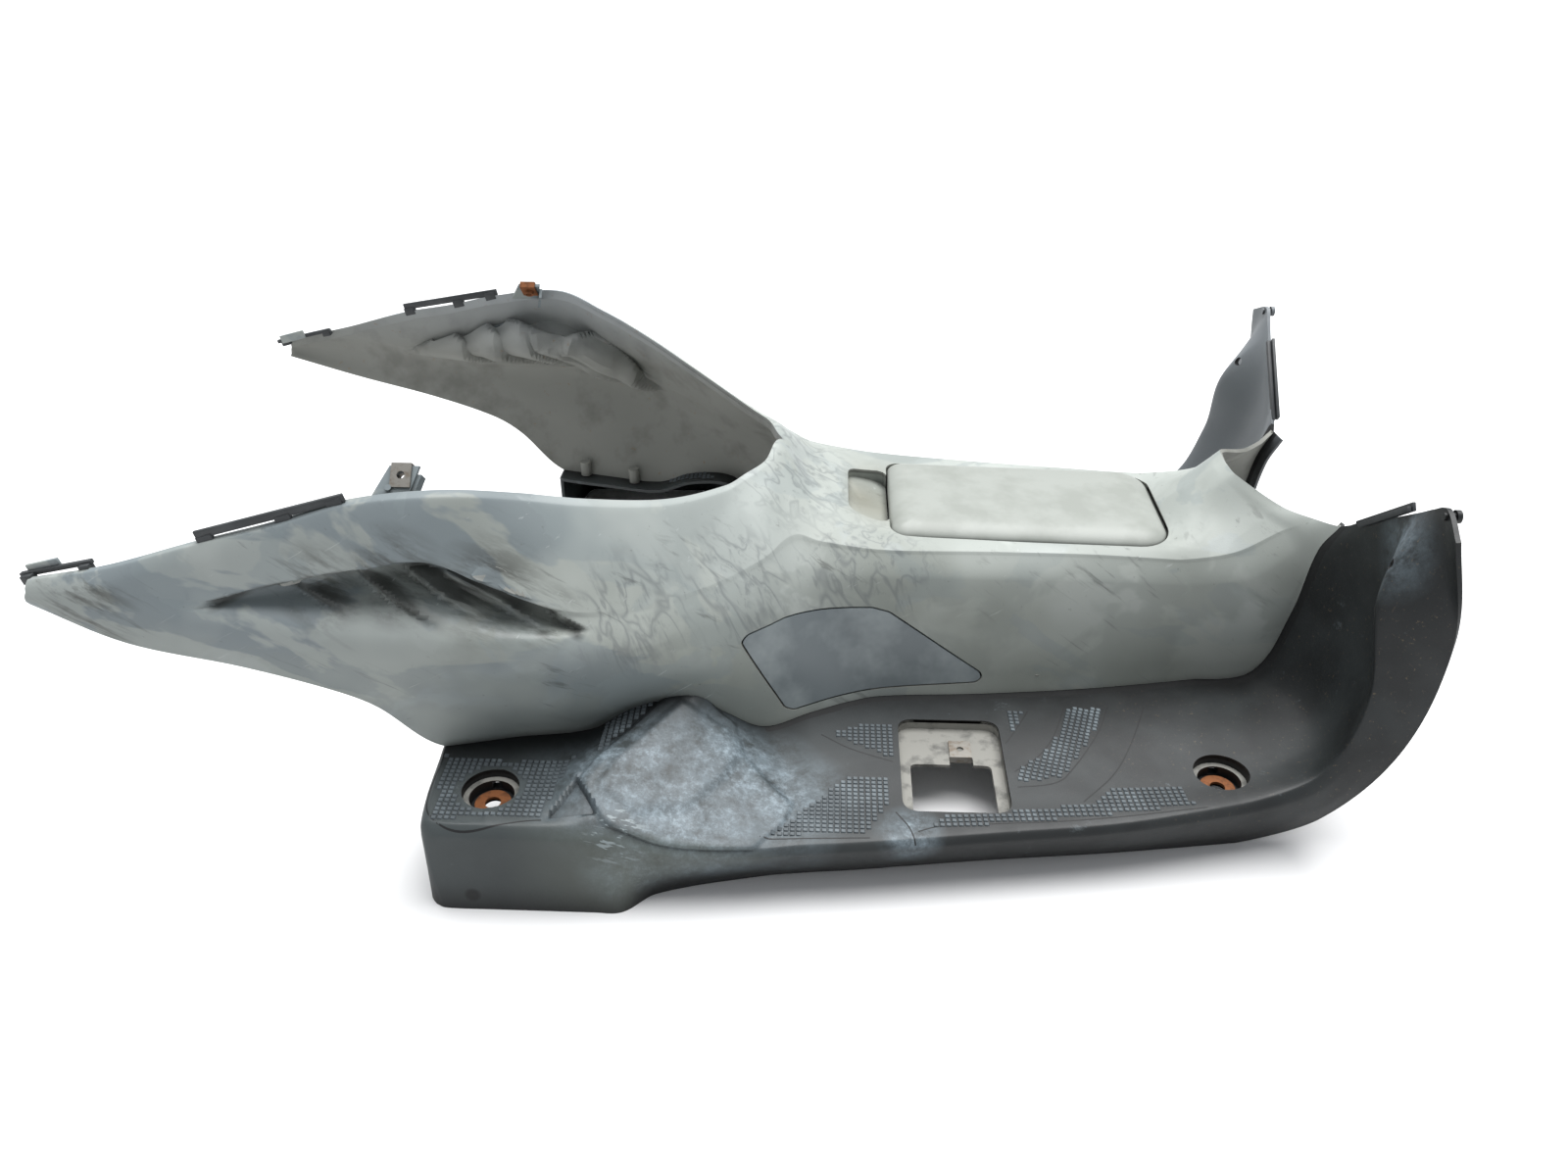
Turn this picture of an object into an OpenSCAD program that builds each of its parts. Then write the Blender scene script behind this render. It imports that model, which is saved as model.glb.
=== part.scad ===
// Floorboard assembly of a small scooter: a grey tunnel cover with two rear wings,
// a black floorboard at each side, a filler lid on the tunnel and a cover in its right flank.
// X points to the front of the scooter, Y to its left side and Z up. The part stands on z = 0.

/* [Overall] */
// Reach of the wing tips behind the datum plane at the front of the saddle cut
wing_l = 512; // [470:1:560]
// Reach of the toe boards in front of the datum plane
nose_l = 387; // [350:1:420]
// Distance from the datum plane to the origin
datum_x = 63; // [40:1:90]
// Half width over the rear foot blocks
half_w = 298; // [270:1:330]
// Height of the wing shoulders above the ground
shoulder_h = 255; // [230:1:280]

/* [Walls and seams] */
// Wall of the tunnel cover
cover_wall = 3; // [2.4:0.1:3.6]
// Wall of the floorboards
board_wall = 3; // [2.4:0.1:3.6]
// Gap between the lower edge of the cover and the floorboard below it
seam_gap = 0.4; // [0.3:0.05:0.8]
// Width of the floorboard flange that runs under the cover
flange_w = 20; // [18:1:26]
// Height of the turned down lip round the saddle cut
rim_lip = 8; // [5:0.5:12]
// Depth of the air scoop in each wing
scoop_d = 15; // [8:0.5:18]

/* [Filler lid] */
// Length of the lid
lid_l = 211; // [190:1:216]
// Half width of the lid
lid_hw = 59; // [50:0.5:60]
// Wall of the lid
lid_wall = 2.5; // [2:0.1:3]
// Height of the lid rim below the bevel
lid_rim = 13; // [11:0.5:15]
// Width of the bevel round the lid
lid_bevel = 9; // [6:0.5:12]
// Height of the bevel round the lid
lid_raise = 5; // [4:0.5:6]
// Gap between the lid and its pocket
lid_gap = 1.3; // [1.1:0.1:2]
// Depth of the pocket floor below the front edge of the lid
pocket_deep = 21; // [19:0.5:26]
// Wall of the pocket
pocket_wall = 2.5; // [2:0.1:3]
// Diameter of the hinge pin
pin_d = 4; // [3:0.5:4]
// Radial clearance of the hinge pin in its bores
pin_play = 0.05; // [0.02:0.01:0.08]
// Diameter of the filler opening under the lid
filler_d = 70; // [50:1:80]

/* [Side cover] */
// Gap round the side cover
hatch_gap = 0.9; // [0.6:0.1:1.5]
// Width of the ledge behind the side cover
hatch_ledge = 4; // [3:0.5:4]
// Wall of the side cover
hatch_wall = 2.3; // [2:0.1:2.4]

/* [Mount recesses] */
// Diameter of the recess that takes the cap
cup_d = 38; // [34:0.5:40]
// Depth of the recess down to its ledge
cup_step = 7; // [5:0.5:9]
// Diameter of the recess below the ledge
cup_low_d = 30; // [26:0.5:31]
// Full depth of the recess
cup_depth = 15; // [13:0.5:17]
// Wall of the recess
cup_wall = 2.5; // [2:0.1:3]
// Diameter of the bore in the steel washer
washer_bore = 10.5; // [8.5:0.5:12.5]
// Outer diameter of the steel washer
washer_d = 24; // [20:0.5:25]
// Thickness of the steel washer
washer_t = 2; // [1.5:0.1:2.5]

/* [Square opening] */
// Length of the opening in the floor
well_l = 74; // [66:1:78]
// Width of the opening in the floor
well_w = 98; // [90:1:102]
// Depth of its ledge below the floor
well_depth = 9; // [7:0.5:12]
// Corner radius of the opening
well_r = 8; // [5:0.5:12]
// Width of the ledge at the front and rear ends
well_ledge = 8; // [6:0.5:10]
// Width of the ledge at the inner side
well_shelf = 40; // [34:1:46]

/* [Fasteners] */
// Diameter of the screw hole in each toe board
ear_hole_d = 7; // [5:0.5:9]
// Width of the sheet steel clip nuts
nut_w = 16; // [13:0.5:16.5]
// Thickness of the sheet steel clip nuts
nut_t = 1.2; // [0.8:0.1:1.5]
// Bore of the sheet steel clip nuts
nut_bore = 5; // [4:0.5:6]
// Shank diameter of the seam screws
screw_d = 4; // [3.5:0.1:4.5]
// Diameter of the bosses that take the seam screws
boss_d = 10; // [9:0.5:11]

/* [Hidden] */
$fn = 48;
tiny = 0.000001;
seat = 0.3;
grey = "#85878a";
light_grey = "#c3c7c8";
black = "#33373a";
steel = "#8a6a50";

// Lengths of the drawing that the section tables below are measured on
wing_ref = 512;
nose_ref = 387;
half_ref = 298;
height_ref = 255;

// A point of the tables, at the size that is set above: x from the datum, side distance, height
function at(p) = [
    datum_x + p[0] * (p[0] < 0 ? wing_l / wing_ref : nose_l / nose_ref),
    p[1] * half_w / half_ref,
    p[2] * shoulder_h / height_ref];

// The seam where the cover meets the floorboard, from the rear of the foot block to the nose
seam = [[-260, 212, 66], [-212, 200, 66], [-162, 190, 66.5], [-128, 181, 81], [-90, 173, 83.5],
    [-68, 167, 66], [-41, 158, 46.5], [-8, 140, 46], [18, 127, 46], [44, 118, 46],
    [121, 112, 46], [206, 102, 46], [290, 88, 47], [332, 86, 54], [352, 81, 105],
    [360, 79, 160], [370, 81, 181]];

// Sections of one half of the cover, from the top edge or centre line down to the lower edge:
// top, lip, upper flank, shoulder or scoop lip, crest, lower flank, lower edge
wing_sections = [
    [[-508, 211, 198], [-509, 214, 197.5], [-510, 217, 194], [-510, 218.5, 191],
        [-511, 219.5, 188], [-512, 218.5, 184], [-512, 216, 180]],
    [[-455, 212, 209], [-455, 216, 208], [-455, 221, 202], [-455, 224, 196],
        [-454, 226.5, 182], [-453, 226.5, 170], [-452, 224, 157]],
    [[-394, 208, 226], [-394, 213, 225], [-395, 218, 214], [-396, 221, 190],
        [-392, 226, 174], [-386, 226, 156], [-380, 222, 138]],
    [[-345, 201, 237], [-345, 207, 235], [-344, 212, 222], [-340, 217, 198],
        [-335, 226, 170], [-330, 226, 148], [-325, 220, 119]],
    [[-300, 193, 249], [-300, 199, 247], [-300, 207, 232], [-300, 215, 208],
        [-300, 227, 168], [-300, 225, 138], [-300, 217, 104]],
    [[-243, 189, 255], [-243, 196, 253], [-246, 204, 240], [-250, 213, 217],
        [-252, 227, 166], [-256, 222, 118], seam[0]],
    [[-200, 170, 244], [-201, 177, 242], [-204, 190, 228], [-207, 208, 193],
        [-208, 224, 158], [-209, 216, 112], seam[1]],
    [[-159, 149, 229], [-160, 157, 227], [-161, 177, 206], [-161, 199, 172],
        [-161, 212, 146], [-162, 206, 106], seam[2]],
    [[-110, 114, 211], [-111, 122, 209], [-115, 146, 190], [-120, 173, 162],
        [-120, 190, 138], [-123, 192, 112], seam[3]],
    [[-72, 75, 202], [-73, 83, 200], [-78, 108, 184], [-82, 142, 157],
        [-84, 162, 134], [-86, 174, 110], seam[4]],
    [[-59, 56, 202], [-59, 64, 200], [-61, 91, 185], [-62, 125, 158],
        [-62, 147, 133], [-65, 162, 104], seam[5]],
    [[-46, 36, 202.5], [-46, 44, 200.5], [-44, 74, 186], [-42, 108, 162],
        [-40, 131, 132], [-40, 148, 92], seam[6]]];
tunnel_sections = [
    [[-34, 0, 204], [-33, 20, 202], [-28, 50, 187], [-22, 82, 166],
        [-16, 108, 136], [-12, 126, 94], seam[7]],
    [[-12, 0, 179], [-10, 24, 178], [-6, 56, 171], [-3, 82, 161],
        [3, 100, 138], [10, 114, 94], seam[8]],
    [[37, 0, 157], [38, 28, 157], [40, 62, 156.6], [42, 81, 154],
        [43, 94, 136], [44, 107, 92], seam[9]],
    [[121, 0, 151.8], [121, 28, 151.8], [121, 63, 151.6], [121, 75, 150.5],
        [121, 89, 134], [121, 102, 90], seam[10]],
    [[200, 0, 149.8], [200, 28, 149.8], [200, 62, 149.4], [201, 71, 147.5],
        [203, 83, 130], [205, 94, 88], seam[11]],
    [[260, 0, 149.5], [260, 28, 149.5], [262, 61, 148.5], [266, 70, 144],
        [274, 79, 126], [282, 86, 88], seam[12]],
    [[285, 0, 170], [287, 22, 168.5], [296, 49, 159], [305, 68, 150],
        [315, 79, 132], [325, 85, 95], seam[13]],
    [[300, 0, 185], [303, 21, 184], [322, 46, 172], [338, 62, 166],
        [346, 73, 152], [350, 79, 130], seam[14]],
    [[304, 0, 188], [306.5, 21, 187.5], [331, 48, 176], [348, 64, 172],
        [355, 72, 168], [358, 76, 164], seam[15]],
    [[308, 0, 191], [310, 21, 191], [339, 49, 179], [357, 66, 178.5],
        [363.5, 74, 179.5], [367, 78, 180], seam[16]]];
cover_sections = concat(wing_sections, tunnel_sections);
first_centre = len(wing_sections);
// Share of the full scoop depth at each section
scoop_share = [0, 0, 0.05, 0.55, 0.95, 1, 0.8, 0.1];

// Direction from the cover's edge to the floorboard below it, at each seam point
seam_dir = [for (k = [0 : len(seam) - 1]) k < 13 ? [0, 0, -1] :
    k == 13 ? [0.4, 0, -0.9] : k == 14 ? [1, 0, -0.2] : [1, 0, 0]];

// Sections of a floorboard outside the seam, from inner floor to the skirt's lower edge:
// inner floor, outer floor, top of the edge, roll, skirt, lower edge
rear_wall_low = [[-263, 198, 0], [-263, 212, 0], [-262, 240, 0], [-261, 262, 0],
    [-259, 282, 0], [-257, 289, 0], [-253, 294, 0], [-248, 297, 0]];
rear_wall_high = [[-262.5, 198, 60], [-262.5, 212, 60], [-261.5, 240, 60], [-260, 262, 60],
    [-257, 283, 59], [-254, 290, 52], [-251, 294.5, 32], [-246, 297.5, 0]];
board_sections = [
    [[-257, 240, 66], [-255, 262, 66], [-250, 284, 65.5], [-247, 291.5, 58],
        [-243, 295, 32], [-238, 298, 0]],
    [[-214, 230, 66], [-217, 256, 66], [-214, 286, 65.5], [-214, 292, 58],
        [-214, 295, 32], [-214, 298, 0]],
    [[-170, 215, 66], [-178, 248, 66], [-173, 285, 65.5], [-171, 292, 58],
        [-169, 295, 31], [-167, 298, 0]],
    [[-146, 212, 75], [-165, 250, 71], [-158, 283, 65.5], [-154, 291, 57],
        [-151, 295, 30], [-148, 298, 0]],
    [[-118, 210, 79.5], [-148, 250, 74.5], [-144, 279, 66], [-138, 289, 56],
        [-134, 294, 30], [-128, 297, 0]],
    [[-78, 206, 69], [-92, 246, 63], [-98, 285, 52], [-99, 289.5, 45],
        [-102, 287, 24], [-107, 280, 0]],
    [[-28, 200, 46.5], [-24, 238, 46.5], [-44, 281, 46], [-44, 285, 40],
        [-42, 277, 21], [-40, 262, 0]],
    [[0, 188, 46], [2, 235, 46], [-10, 276, 46], [-10, 280.5, 40],
        [-9, 273, 21], [-8, 257, 0]],
    [[22, 186, 46], [22, 236, 46], [20, 273, 46], [20, 277.5, 40],
        [20, 270, 21], [20, 254, 0]],
    [[50, 184, 46], [52, 238, 46], [52, 269, 46], [52, 273.5, 40],
        [52, 266, 21], [52, 249.5, 0]],
    [[121, 180, 46], [121, 230, 46], [121, 259.5, 46], [121, 264, 40],
        [121, 256.5, 21], [121, 240, 0]],
    [[206, 170, 46], [206, 218, 46], [206, 247, 46], [206, 251.5, 40],
        [206, 245, 21], [206, 230, 0]],
    [[290, 150, 47], [284, 200, 46.5], [285, 229, 49], [287, 234, 43],
        [290, 229, 23], [294, 217, 0]],
    [[352, 135, 60], [352, 178, 62], [337, 217, 66], [341, 222, 58],
        [345, 221, 41], [348, 215, 23]],
    [[372, 125, 110], [375, 168, 112], [358, 208, 122], [365, 214, 115],
        [374, 220, 103], [382, 223, 92]],
    [[376, 112, 173], [378, 146, 183], [356, 183, 186], [365, 196, 187],
        [379, 211, 186], [390, 222, 178]],
    [[375, 113, 203], [377, 141, 223], [379, 159, 236], [380, 171, 245],
        [381, 182, 251], [379, 206, 241]]];

function unit3(v) = norm(v) < tiny ? [0, 0, 0] : v / norm(v);
function heading(p, k) = unit3(p[min(k + 1, len(p) - 1)] - p[max(k - 1, 0)]);

// Point at t on the smooth curve through p; ease is 1 for a round knot and 0 for a crease
function along(p, t, ease) = let (
        k = min(floor(t), len(p) - 2), f = t - k, d = norm(p[k + 1] - p[k]),
        a = heading(p, k) * d * ease[k], b = heading(p, k + 1) * d * ease[k + 1])
    p[k] * (1 - 3 * f * f + 2 * f * f * f) + p[k + 1] * (3 * f * f - 2 * f * f * f)
    + a * (f - 2 * f * f + f * f * f) + b * (f * f * f - f * f);
function column(rows, k) = [for (r = rows) r[k]];
function ones(n) = [for (i = [0 : n - 1]) 1];

// Grid of points on the surface through the rows, at the stations us and places vs
function loft(rows, us, vs, u_ease, ease) = [for (u = us)
    let (sec = [for (k = [0 : len(rows[0]) - 1]) along(column(rows, k), u, u_ease)])
    [for (v = vs) along(sec, v, ease)]];

// Outward normal of a grid at station i and place j
function normal(g, i, j) = unit3(cross(
    g[min(i + 1, len(g) - 1)][j] - g[max(i - 1, 0)][j],
    g[i][min(j + 1, len(g[0]) - 1)] - g[i][max(j - 1, 0)]));
function below(g, i, j, d) = g[i][j] - d * normal(g, i, j);

// Two triangles for each pair of neighbours in the index lists a and b
function strip(a, b) = [for (k = [0 : len(a) - 2]) each
    [[a[k], a[k + 1], b[k + 1]], [a[k], b[k + 1], b[k]]]];
function flip(faces) = [for (f = faces) [f[2], f[1], f[0]]];
function flat(g) = [for (row = g) each row];
function mirrored(p) = [p[0], -p[1], p[2]];

// Closed wall between an outer and an inner grid
module wall_between(outer, inner) {
    nu = len(outer);
    nv = len(outer[0]);
    o = [for (i = [0 : nu - 1]) [for (j = [0 : nv - 1]) i * nv + j]];
    n = [for (row = o) [for (k = row) k + nu * nv]];
    polyhedron(concat(flat(outer), flat(inner)), concat(
        strip(o[nu - 1], n[nu - 1]),
        strip(n[0], o[0]),
        strip(column(n, nv - 1), column(o, nv - 1)),
        strip(column(o, 0), column(n, 0)),
        [for (i = [0 : nu - 2]) each flip(strip(n[i], n[i + 1]))],
        [for (i = [0 : nu - 2]) each strip(o[i], o[i + 1])]));
}

// Rows of the cover with the floor of the scoop put in after its lip
scoop_drop = 4;
merge_in = 0.12;
function scoop_at(i) = i < len(scoop_share) ? scoop_share[i] : 0;
function with_scoop(r, share) = [r[0], r[1], r[2], r[3],
    r[3] * (1 - merge_in) + r[4] * merge_in
        - share * [0, scoop_d * half_ref / half_w, scoop_drop], r[4], r[5], r[6]];
cover_rows = [for (i = [0 : len(cover_sections) - 1])
    [for (p = with_scoop(cover_sections[i], scoop_at(i))) at(p)]];
cover_ease = [1, 0.6, 1, 0.35, 0.35, 1, 1, 1];
cover_us = [for (u = [0 : 0.5 : len(cover_rows) - 1]) u];
cover_vs = [0, 1, 1.5, 2, 2.5, 3, 4, 4.5, 5, 5.5, 6, 6.5, 7];
seam_key = 7;

// The top of the tunnel breaks upwards in front of the lid
break_row = 17;
cover_u_ease = [for (i = [0 : len(cover_rows) - 1]) i == break_row ? 0.2 : 1];
cover_raw = loft(cover_rows, cover_us, cover_vs, cover_u_ease, cover_ease);
// From the foot block on, no part of the cover lies lower than the floor that it stands on
foot_row = 5;
foot_z = at(seam[0])[2];
cover_outer = [for (i = [0 : len(cover_us) - 1]) [for (p = cover_raw[i])
    cover_us[i] > foot_row && cover_us[i] < foot_row + 1 ? [p[0], p[1], max(p[2], foot_z)] : p]];
on_centre = [for (u = cover_us) u >= first_centre];

// Inner side of the cover: plumb lips at the rims, level edge at the seam
function cover_inner_at(g, i, j, d) =
    j == len(g[0]) - 1 ? g[i][j] - d * (i == len(g) - 1 ? [-0.3, 0.85, 0.3] : [0, 1, 0]) :
    j == 0 && !on_centre[i] ? g[i][j] - [0, 0, rim_lip] :
    j == 0 && cover_us[i] == first_centre ? g[i][j] - [0, 0, rim_lip] :
    j == 0 ? g[i][j] - d * unit3(cross(
        [g[min(i + 1, len(g) - 1)][0][0] - g[i - 1][0][0], 0,
            g[min(i + 1, len(g) - 1)][0][2] - g[i - 1][0][2]], [0, 1, 0])) :
    below(g, i, j, d);
cover_inner = [for (i = [0 : len(cover_us) - 1]) [for (j = [0 : len(cover_vs) - 1])
    cover_inner_at(cover_outer, i, j, cover_wall)]];

// Both halves of the cover as one closed wall, joined along the centre line
module cover_shell() {
    nu = len(cover_us);
    nv = len(cover_vs);
    size = nu * nv;
    half = flat(cover_outer);
    half_in = flat(cover_inner);
    function id(h, skin, i, j) = (on_centre[i] && j == 0 ? 0 : h) * 2 * size
        + skin * size + i * nv + j;
    function row(h, skin, i) = [for (j = [0 : nv - 1]) id(h, skin, i, j)];
    function col(h, skin, j, last) = [for (i = [0 : last]) id(h, skin, i, j)];
    centre_i = [for (i = [0 : nu - 1]) if (cover_us[i] == first_centre) i][0];
    function half_faces(h) = concat(
        [for (i = [0 : nu - 2]) each strip(row(h, 0, i), row(h, 0, i + 1))],
        [for (i = [0 : nu - 2]) each flip(strip(row(h, 1, i), row(h, 1, i + 1)))],
        strip(col(h, 0, 0, centre_i), col(h, 1, 0, centre_i)),
        strip(col(h, 1, nv - 1, nu - 1), col(h, 0, nv - 1, nu - 1)),
        strip(row(h, 1, 0), row(h, 0, 0)),
        strip(row(h, 0, nu - 1), row(h, 1, nu - 1)));
    polyhedron(concat([for (p = half) mirrored(p)], [for (p = half_in) mirrored(p)],
        half, half_in), concat(flip(half_faces(0)), half_faces(1)));
}

// Rows of a floorboard, with the flange and the seam edge put in front
function flange_dir(k) = k < 13 ? [0, -flange_w, 0] : [5, -flange_w * 0.6, -3];
function seam_point(k) = at(seam[k]) + seam_gap * unit3(seam_dir[k]);
board_rows = concat(
    [[for (p = rear_wall_low) at(p)], [for (p = rear_wall_high) at(p)]],
    [for (k = [0 : len(seam) - 1]) concat([seam_point(k) + flange_dir(k), seam_point(k)],
        [for (p = board_sections[k]) at(p)])]);
board_ease = [0, 0.2, 1, 1, 0.6, 0.6, 1, 1];
board_us = [for (u = [0 : 0.5 : len(board_rows) - 1]) if (u != 0.5) u];
board_vs = [0, 1, 2, 3, 3.6, 4, 4.5, 5, 6, 7];
// The floor stays level round the front recess and then turns up
level_row = 14;
board_u_ease = [for (i = [0 : len(board_rows) - 1]) i == level_row ? 0 : 1];
board_raw = loft(board_rows, board_us, board_vs, board_u_ease, board_ease);
// The top of the foot block is level
top_row = 2;
block_top = foot_z - seam_gap;
board_outer = [for (i = [0 : len(board_us) - 1]) let (
        top = board_us[i] > top_row && board_us[i] < top_row + 1 ? block_top : shoulder_h)
    [for (p = board_raw[i]) [p[0], p[1], min(max(p[2], 0), top)]]];
function board_inner_at(g, i, j, d) =
    board_us[i] == 0 ? g[i][j] + [d, j == len(g[0]) - 1 ? -d : 0, 0] :
    j == len(g[0]) - 1 && g[i][j][2] < tiny ? g[i][j] - [0, d, 0] :
    j == 0 && board_us[i] > top_row ? g[i][j] - d * normal(g, i, j) :
    below(g, i, j, board_us[i] < top_row ? d - 0.6 : d);
board_inner = [for (i = [0 : len(board_us) - 1]) [for (j = [0 : len(board_vs) - 1])
    board_inner_at(board_outer, i, j, board_wall)]];

module board_shell() {
    wall_between(board_outer, board_inner);
}

// Plan of the lid and of its pocket: rounded corners, the front ones larger
lid_rear = 51;
lid_r_rear = 12;
lid_r_front = 24;
arc_n = 5;
function arc(x, y, r, a) = [for (k = [0 : arc_n]) let (b = a + 90 * k / arc_n)
    [x + r * cos(b), y + r * sin(b)]];
function plan(d) = let (
        x0 = datum_x + lid_rear - d, x1 = datum_x + lid_rear + lid_l + d, w = lid_hw + d,
        r0 = max(lid_r_rear + d, 1), r1 = max(lid_r_front + d, 1))
    concat(arc(x1 - r1, r1 - w, r1, -90), arc(x1 - r1, w - r1, r1, 0),
        arc(x0 + r0, w - r0, r0, 90), arc(x0 + r0, r0 - w, r0, 180));
// Height of the lower edge of the bevel: the lid slopes down to the front
lid_z = 154.5;
lid_fall = 5;
function lid_level(x) = lid_z - lid_fall * (x - datum_x - lid_rear) / lid_l;
function ring(d, h) = [for (p = plan(d)) [p[0], p[1], lid_level(p[0]) + h]];

// Closed solid through rings of equally many points, from the lowest ring to the highest
module stack(rings) {
    n = len(rings[0]);
    m = len(rings);
    polyhedron(flat(rings), concat(
        [[for (k = [0 : n - 1]) k]], [[for (k = [n - 1 : -1 : 0]) (m - 1) * n + k]],
        [for (i = [0 : m - 2]) for (k = [0 : n - 1]) let (q = (k + 1) % n)
            each [[i * n + k, (i + 1) * n + k, (i + 1) * n + q],
                [i * n + k, (i + 1) * n + q, i * n + q]]]));
}

// Hinge of the lid
axis_in = 16;
axis_x = datum_x + lid_rear + lid_l - axis_in;
axis_z = lid_z - 5.5;
knuckle_r = 4;
knuckle_in = 8;
knuckle_out = 20;
lug_gap = 0.5;
lug_in = 20.5;
lug_r = 3.3;
lug_w = 4;
pocket_floor = lid_z - lid_fall - pocket_deep;
module across(x, z, r, y0, y1) {
    translate([x, y0, z]) rotate([-90, 0, 0]) cylinder(h = y1 - y0, r = r);
}
module hinge_bore() across(axis_x, axis_z, pin_d / 2 + pin_play, -40, 40);

lid_crown = 1.2;
crown_in = 30;
module filler_lid() color(light_grey) {
    difference() {
        union() {
            difference() {
                stack([ring(0, -lid_rim), ring(0, 0), ring(-lid_bevel, lid_raise),
                    ring(-crown_in, lid_raise + lid_crown)]);
                stack([ring(-lid_wall, -lid_rim - 1), ring(-lid_wall, -lid_wall / 2),
                    ring(-lid_bevel - 1, lid_raise - lid_wall),
                    ring(-crown_in - 1, lid_raise + lid_crown - lid_wall)]);
            }
            for (side = [-1, 1]) {
                y0 = side < 0 ? -knuckle_out : knuckle_in;
                across(axis_x, axis_z, knuckle_r, y0, y0 + knuckle_out - knuckle_in);
                translate([axis_x - knuckle_r, y0, axis_z])
                    cube([2 * knuckle_r, knuckle_out - knuckle_in, 5.2]);
            }
        }
        hinge_bore();
        for (side = [-1, 1])
            translate([axis_x + axis_in - 6, side * (lug_in + lug_w / 2) - lug_w / 2 - lug_gap,
                lid_z - lid_fall - lid_rim - 2])
                cube([10, lug_w + 2 * lug_gap, axis_z - 0.8 - lid_z + lid_fall + lid_rim + 2]);
    }
}

module lid_hinge_pin() color(steel)
    across(axis_x, axis_z, pin_d / 2, -lug_in - lug_w - 1, lug_in + lug_w + 1);

// Mid line of the cover's wall along the centre, as a side view up to the given height
mid_wall = cover_wall / 2;
function top_line(u) = along(column(cover_rows, 0), u, cover_u_ease);
function side_view(u0, u1, z) = let (top = [for (u = [u0 : 0.5 : u1]) top_line(u)])
    concat([[top[0][0], z], [top[len(top) - 1][0], z]],
        [for (k = [len(top) - 1 : -1 : 0]) [top[k][0], top[k][2] - mid_wall]]);
module under_top(z) {
    rotate([90, 0, 0]) translate([0, 0, -90]) linear_extrude(180)
        polygon(side_view(13, 18.5, z));
}

// Finger scoop behind the lid
scoop_x = datum_x + 20;
scoop_hw = 27;
scoop_hw_front = 45;
module finger_scoop(d) {
    x1 = datum_x + lid_rear - lid_gap + 1;
    low = [[scoop_x - d, d - scoop_hw, 160 - d], [x1, d - scoop_hw_front, 142 - d],
        [x1, scoop_hw_front - d, 142 - d], [scoop_x - d, scoop_hw - d, 160 - d]];
    rim = [[scoop_x - d, -scoop_hw - d, 163 - d], [x1, -scoop_hw_front - d, 147 - d],
        [x1, scoop_hw_front + d, 147 - d], [scoop_x - d, scoop_hw + d, 163 - d]];
    high = [for (p = rim) [p[0], p[1], 190]];
    stack([low, rim, high]);
}

// Pocket for the lid: a tray with hinge lugs, rest pads and the filler opening
module tray() {
    intersection() {
        union() {
            translate([0, 0, pocket_floor - cover_wall]) linear_extrude(60)
                polygon(plan(lid_gap + pocket_wall));
            finger_scoop(pocket_wall);
        }
        under_top(pocket_floor - cover_wall);
    }
}
filler_x = datum_x + 150;
module pocket() {
    translate([0, 0, pocket_floor]) linear_extrude(60) polygon(plan(lid_gap));
    finger_scoop(0);
    translate([filler_x, 0, pocket_floor - cover_wall - 1]) cylinder(h = 20, d = filler_d);
}
pad = 8;
module in_pocket() {
    for (side = [-1, 1]) {
        y = side * (lug_in + lug_w / 2);
        across(axis_x, axis_z, lug_r, y - lug_w / 2, y + lug_w / 2);
        translate([axis_x - lug_r, y - lug_w / 2, pocket_floor - 1])
            cube([lug_r + 0.5, lug_w, axis_z - pocket_floor + 1]);
        translate([datum_x + lid_rear, side * 34 - pad / 2, pocket_floor - 1])
            cube([pad, pad, lid_level(datum_x + lid_rear + pad) - lid_rim - seat
                - pocket_floor + 1]);
    }
}

// Side cover in the right flank
hatch_outline = [[-58, 117], [-54, 121], [-28, 122], [-10, 120], [37, 116.5], [50, 112.5],
    [121, 64], [122.5, 59], [118, 55], [38, 51.5], [-20, 51.5], [-27, 56]];
module hatch_prism(d) {
    rotate([90, 0, 0]) translate([0, 0, 40]) linear_extrude(160) offset(delta = d)
        polygon([for (p = hatch_outline) [datum_x + p[0], p[1]]]);
}
hatch_i = [18 : 32];
hatch_j = [4 : 12];
function hatch_grid(d) = [for (i = hatch_i) [for (j = hatch_j) below(cover_outer, i, j, d)]];
module flank(d0, d1) mirror([0, 1, 0]) wall_between(hatch_grid(d0), hatch_grid(d1));
ledge_t = 2.5;
module hatch_ledge_ring() {
    intersection() {
        flank(hatch_wall + seat, hatch_wall + seat + ledge_t);
        difference() {
            hatch_prism(hatch_ledge);
            hatch_prism(-hatch_ledge);
        }
    }
}
module side_cover() color(black) {
    difference() {
        intersection() {
            flank(0, hatch_wall);
            hatch_prism(-hatch_gap);
        }
        translate([datum_x - 47, -170, 84]) rotate([0, 22, 0]) cube([6, 30, 12], center = true);
    }
}

// Plank from p to q with its width level
module plank(p, q, w, h) {
    d = q - p;
    translate(p) rotate([0, -atan2(d[2], norm([d[0], d[1]])), atan2(d[1], d[0])])
        translate([0, -w / 2, 0]) cube([norm(d), w, h]);
}

// Tongues on the top edge of the wing
module wing_tongues() {
    plank(at([-392, 210, 228]), at([-299, 194.5, 248.5]), 3, 6);
    for (q = [[-391, 209.5, 223], [-342, 201.5, 234], [-310, 196, 243]])
        plank(at(q), at(q) + [10, -1.2, 2.6], 4.6, 7.3);
    plank(at([-517, 206.5, 195]), at([-466, 207.5, 207]), 4, 3.5);
    plank(at([-514, 209, 192]), at([-506, 210, 194]), 6, 6);
    plank(at([-473, 209.5, 202]), at([-466, 209.5, 203.5]), 7, 5.5);
    plank(at([-512, 204.5, 196]), at([-488, 205, 202]), 3, 8);
}

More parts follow.
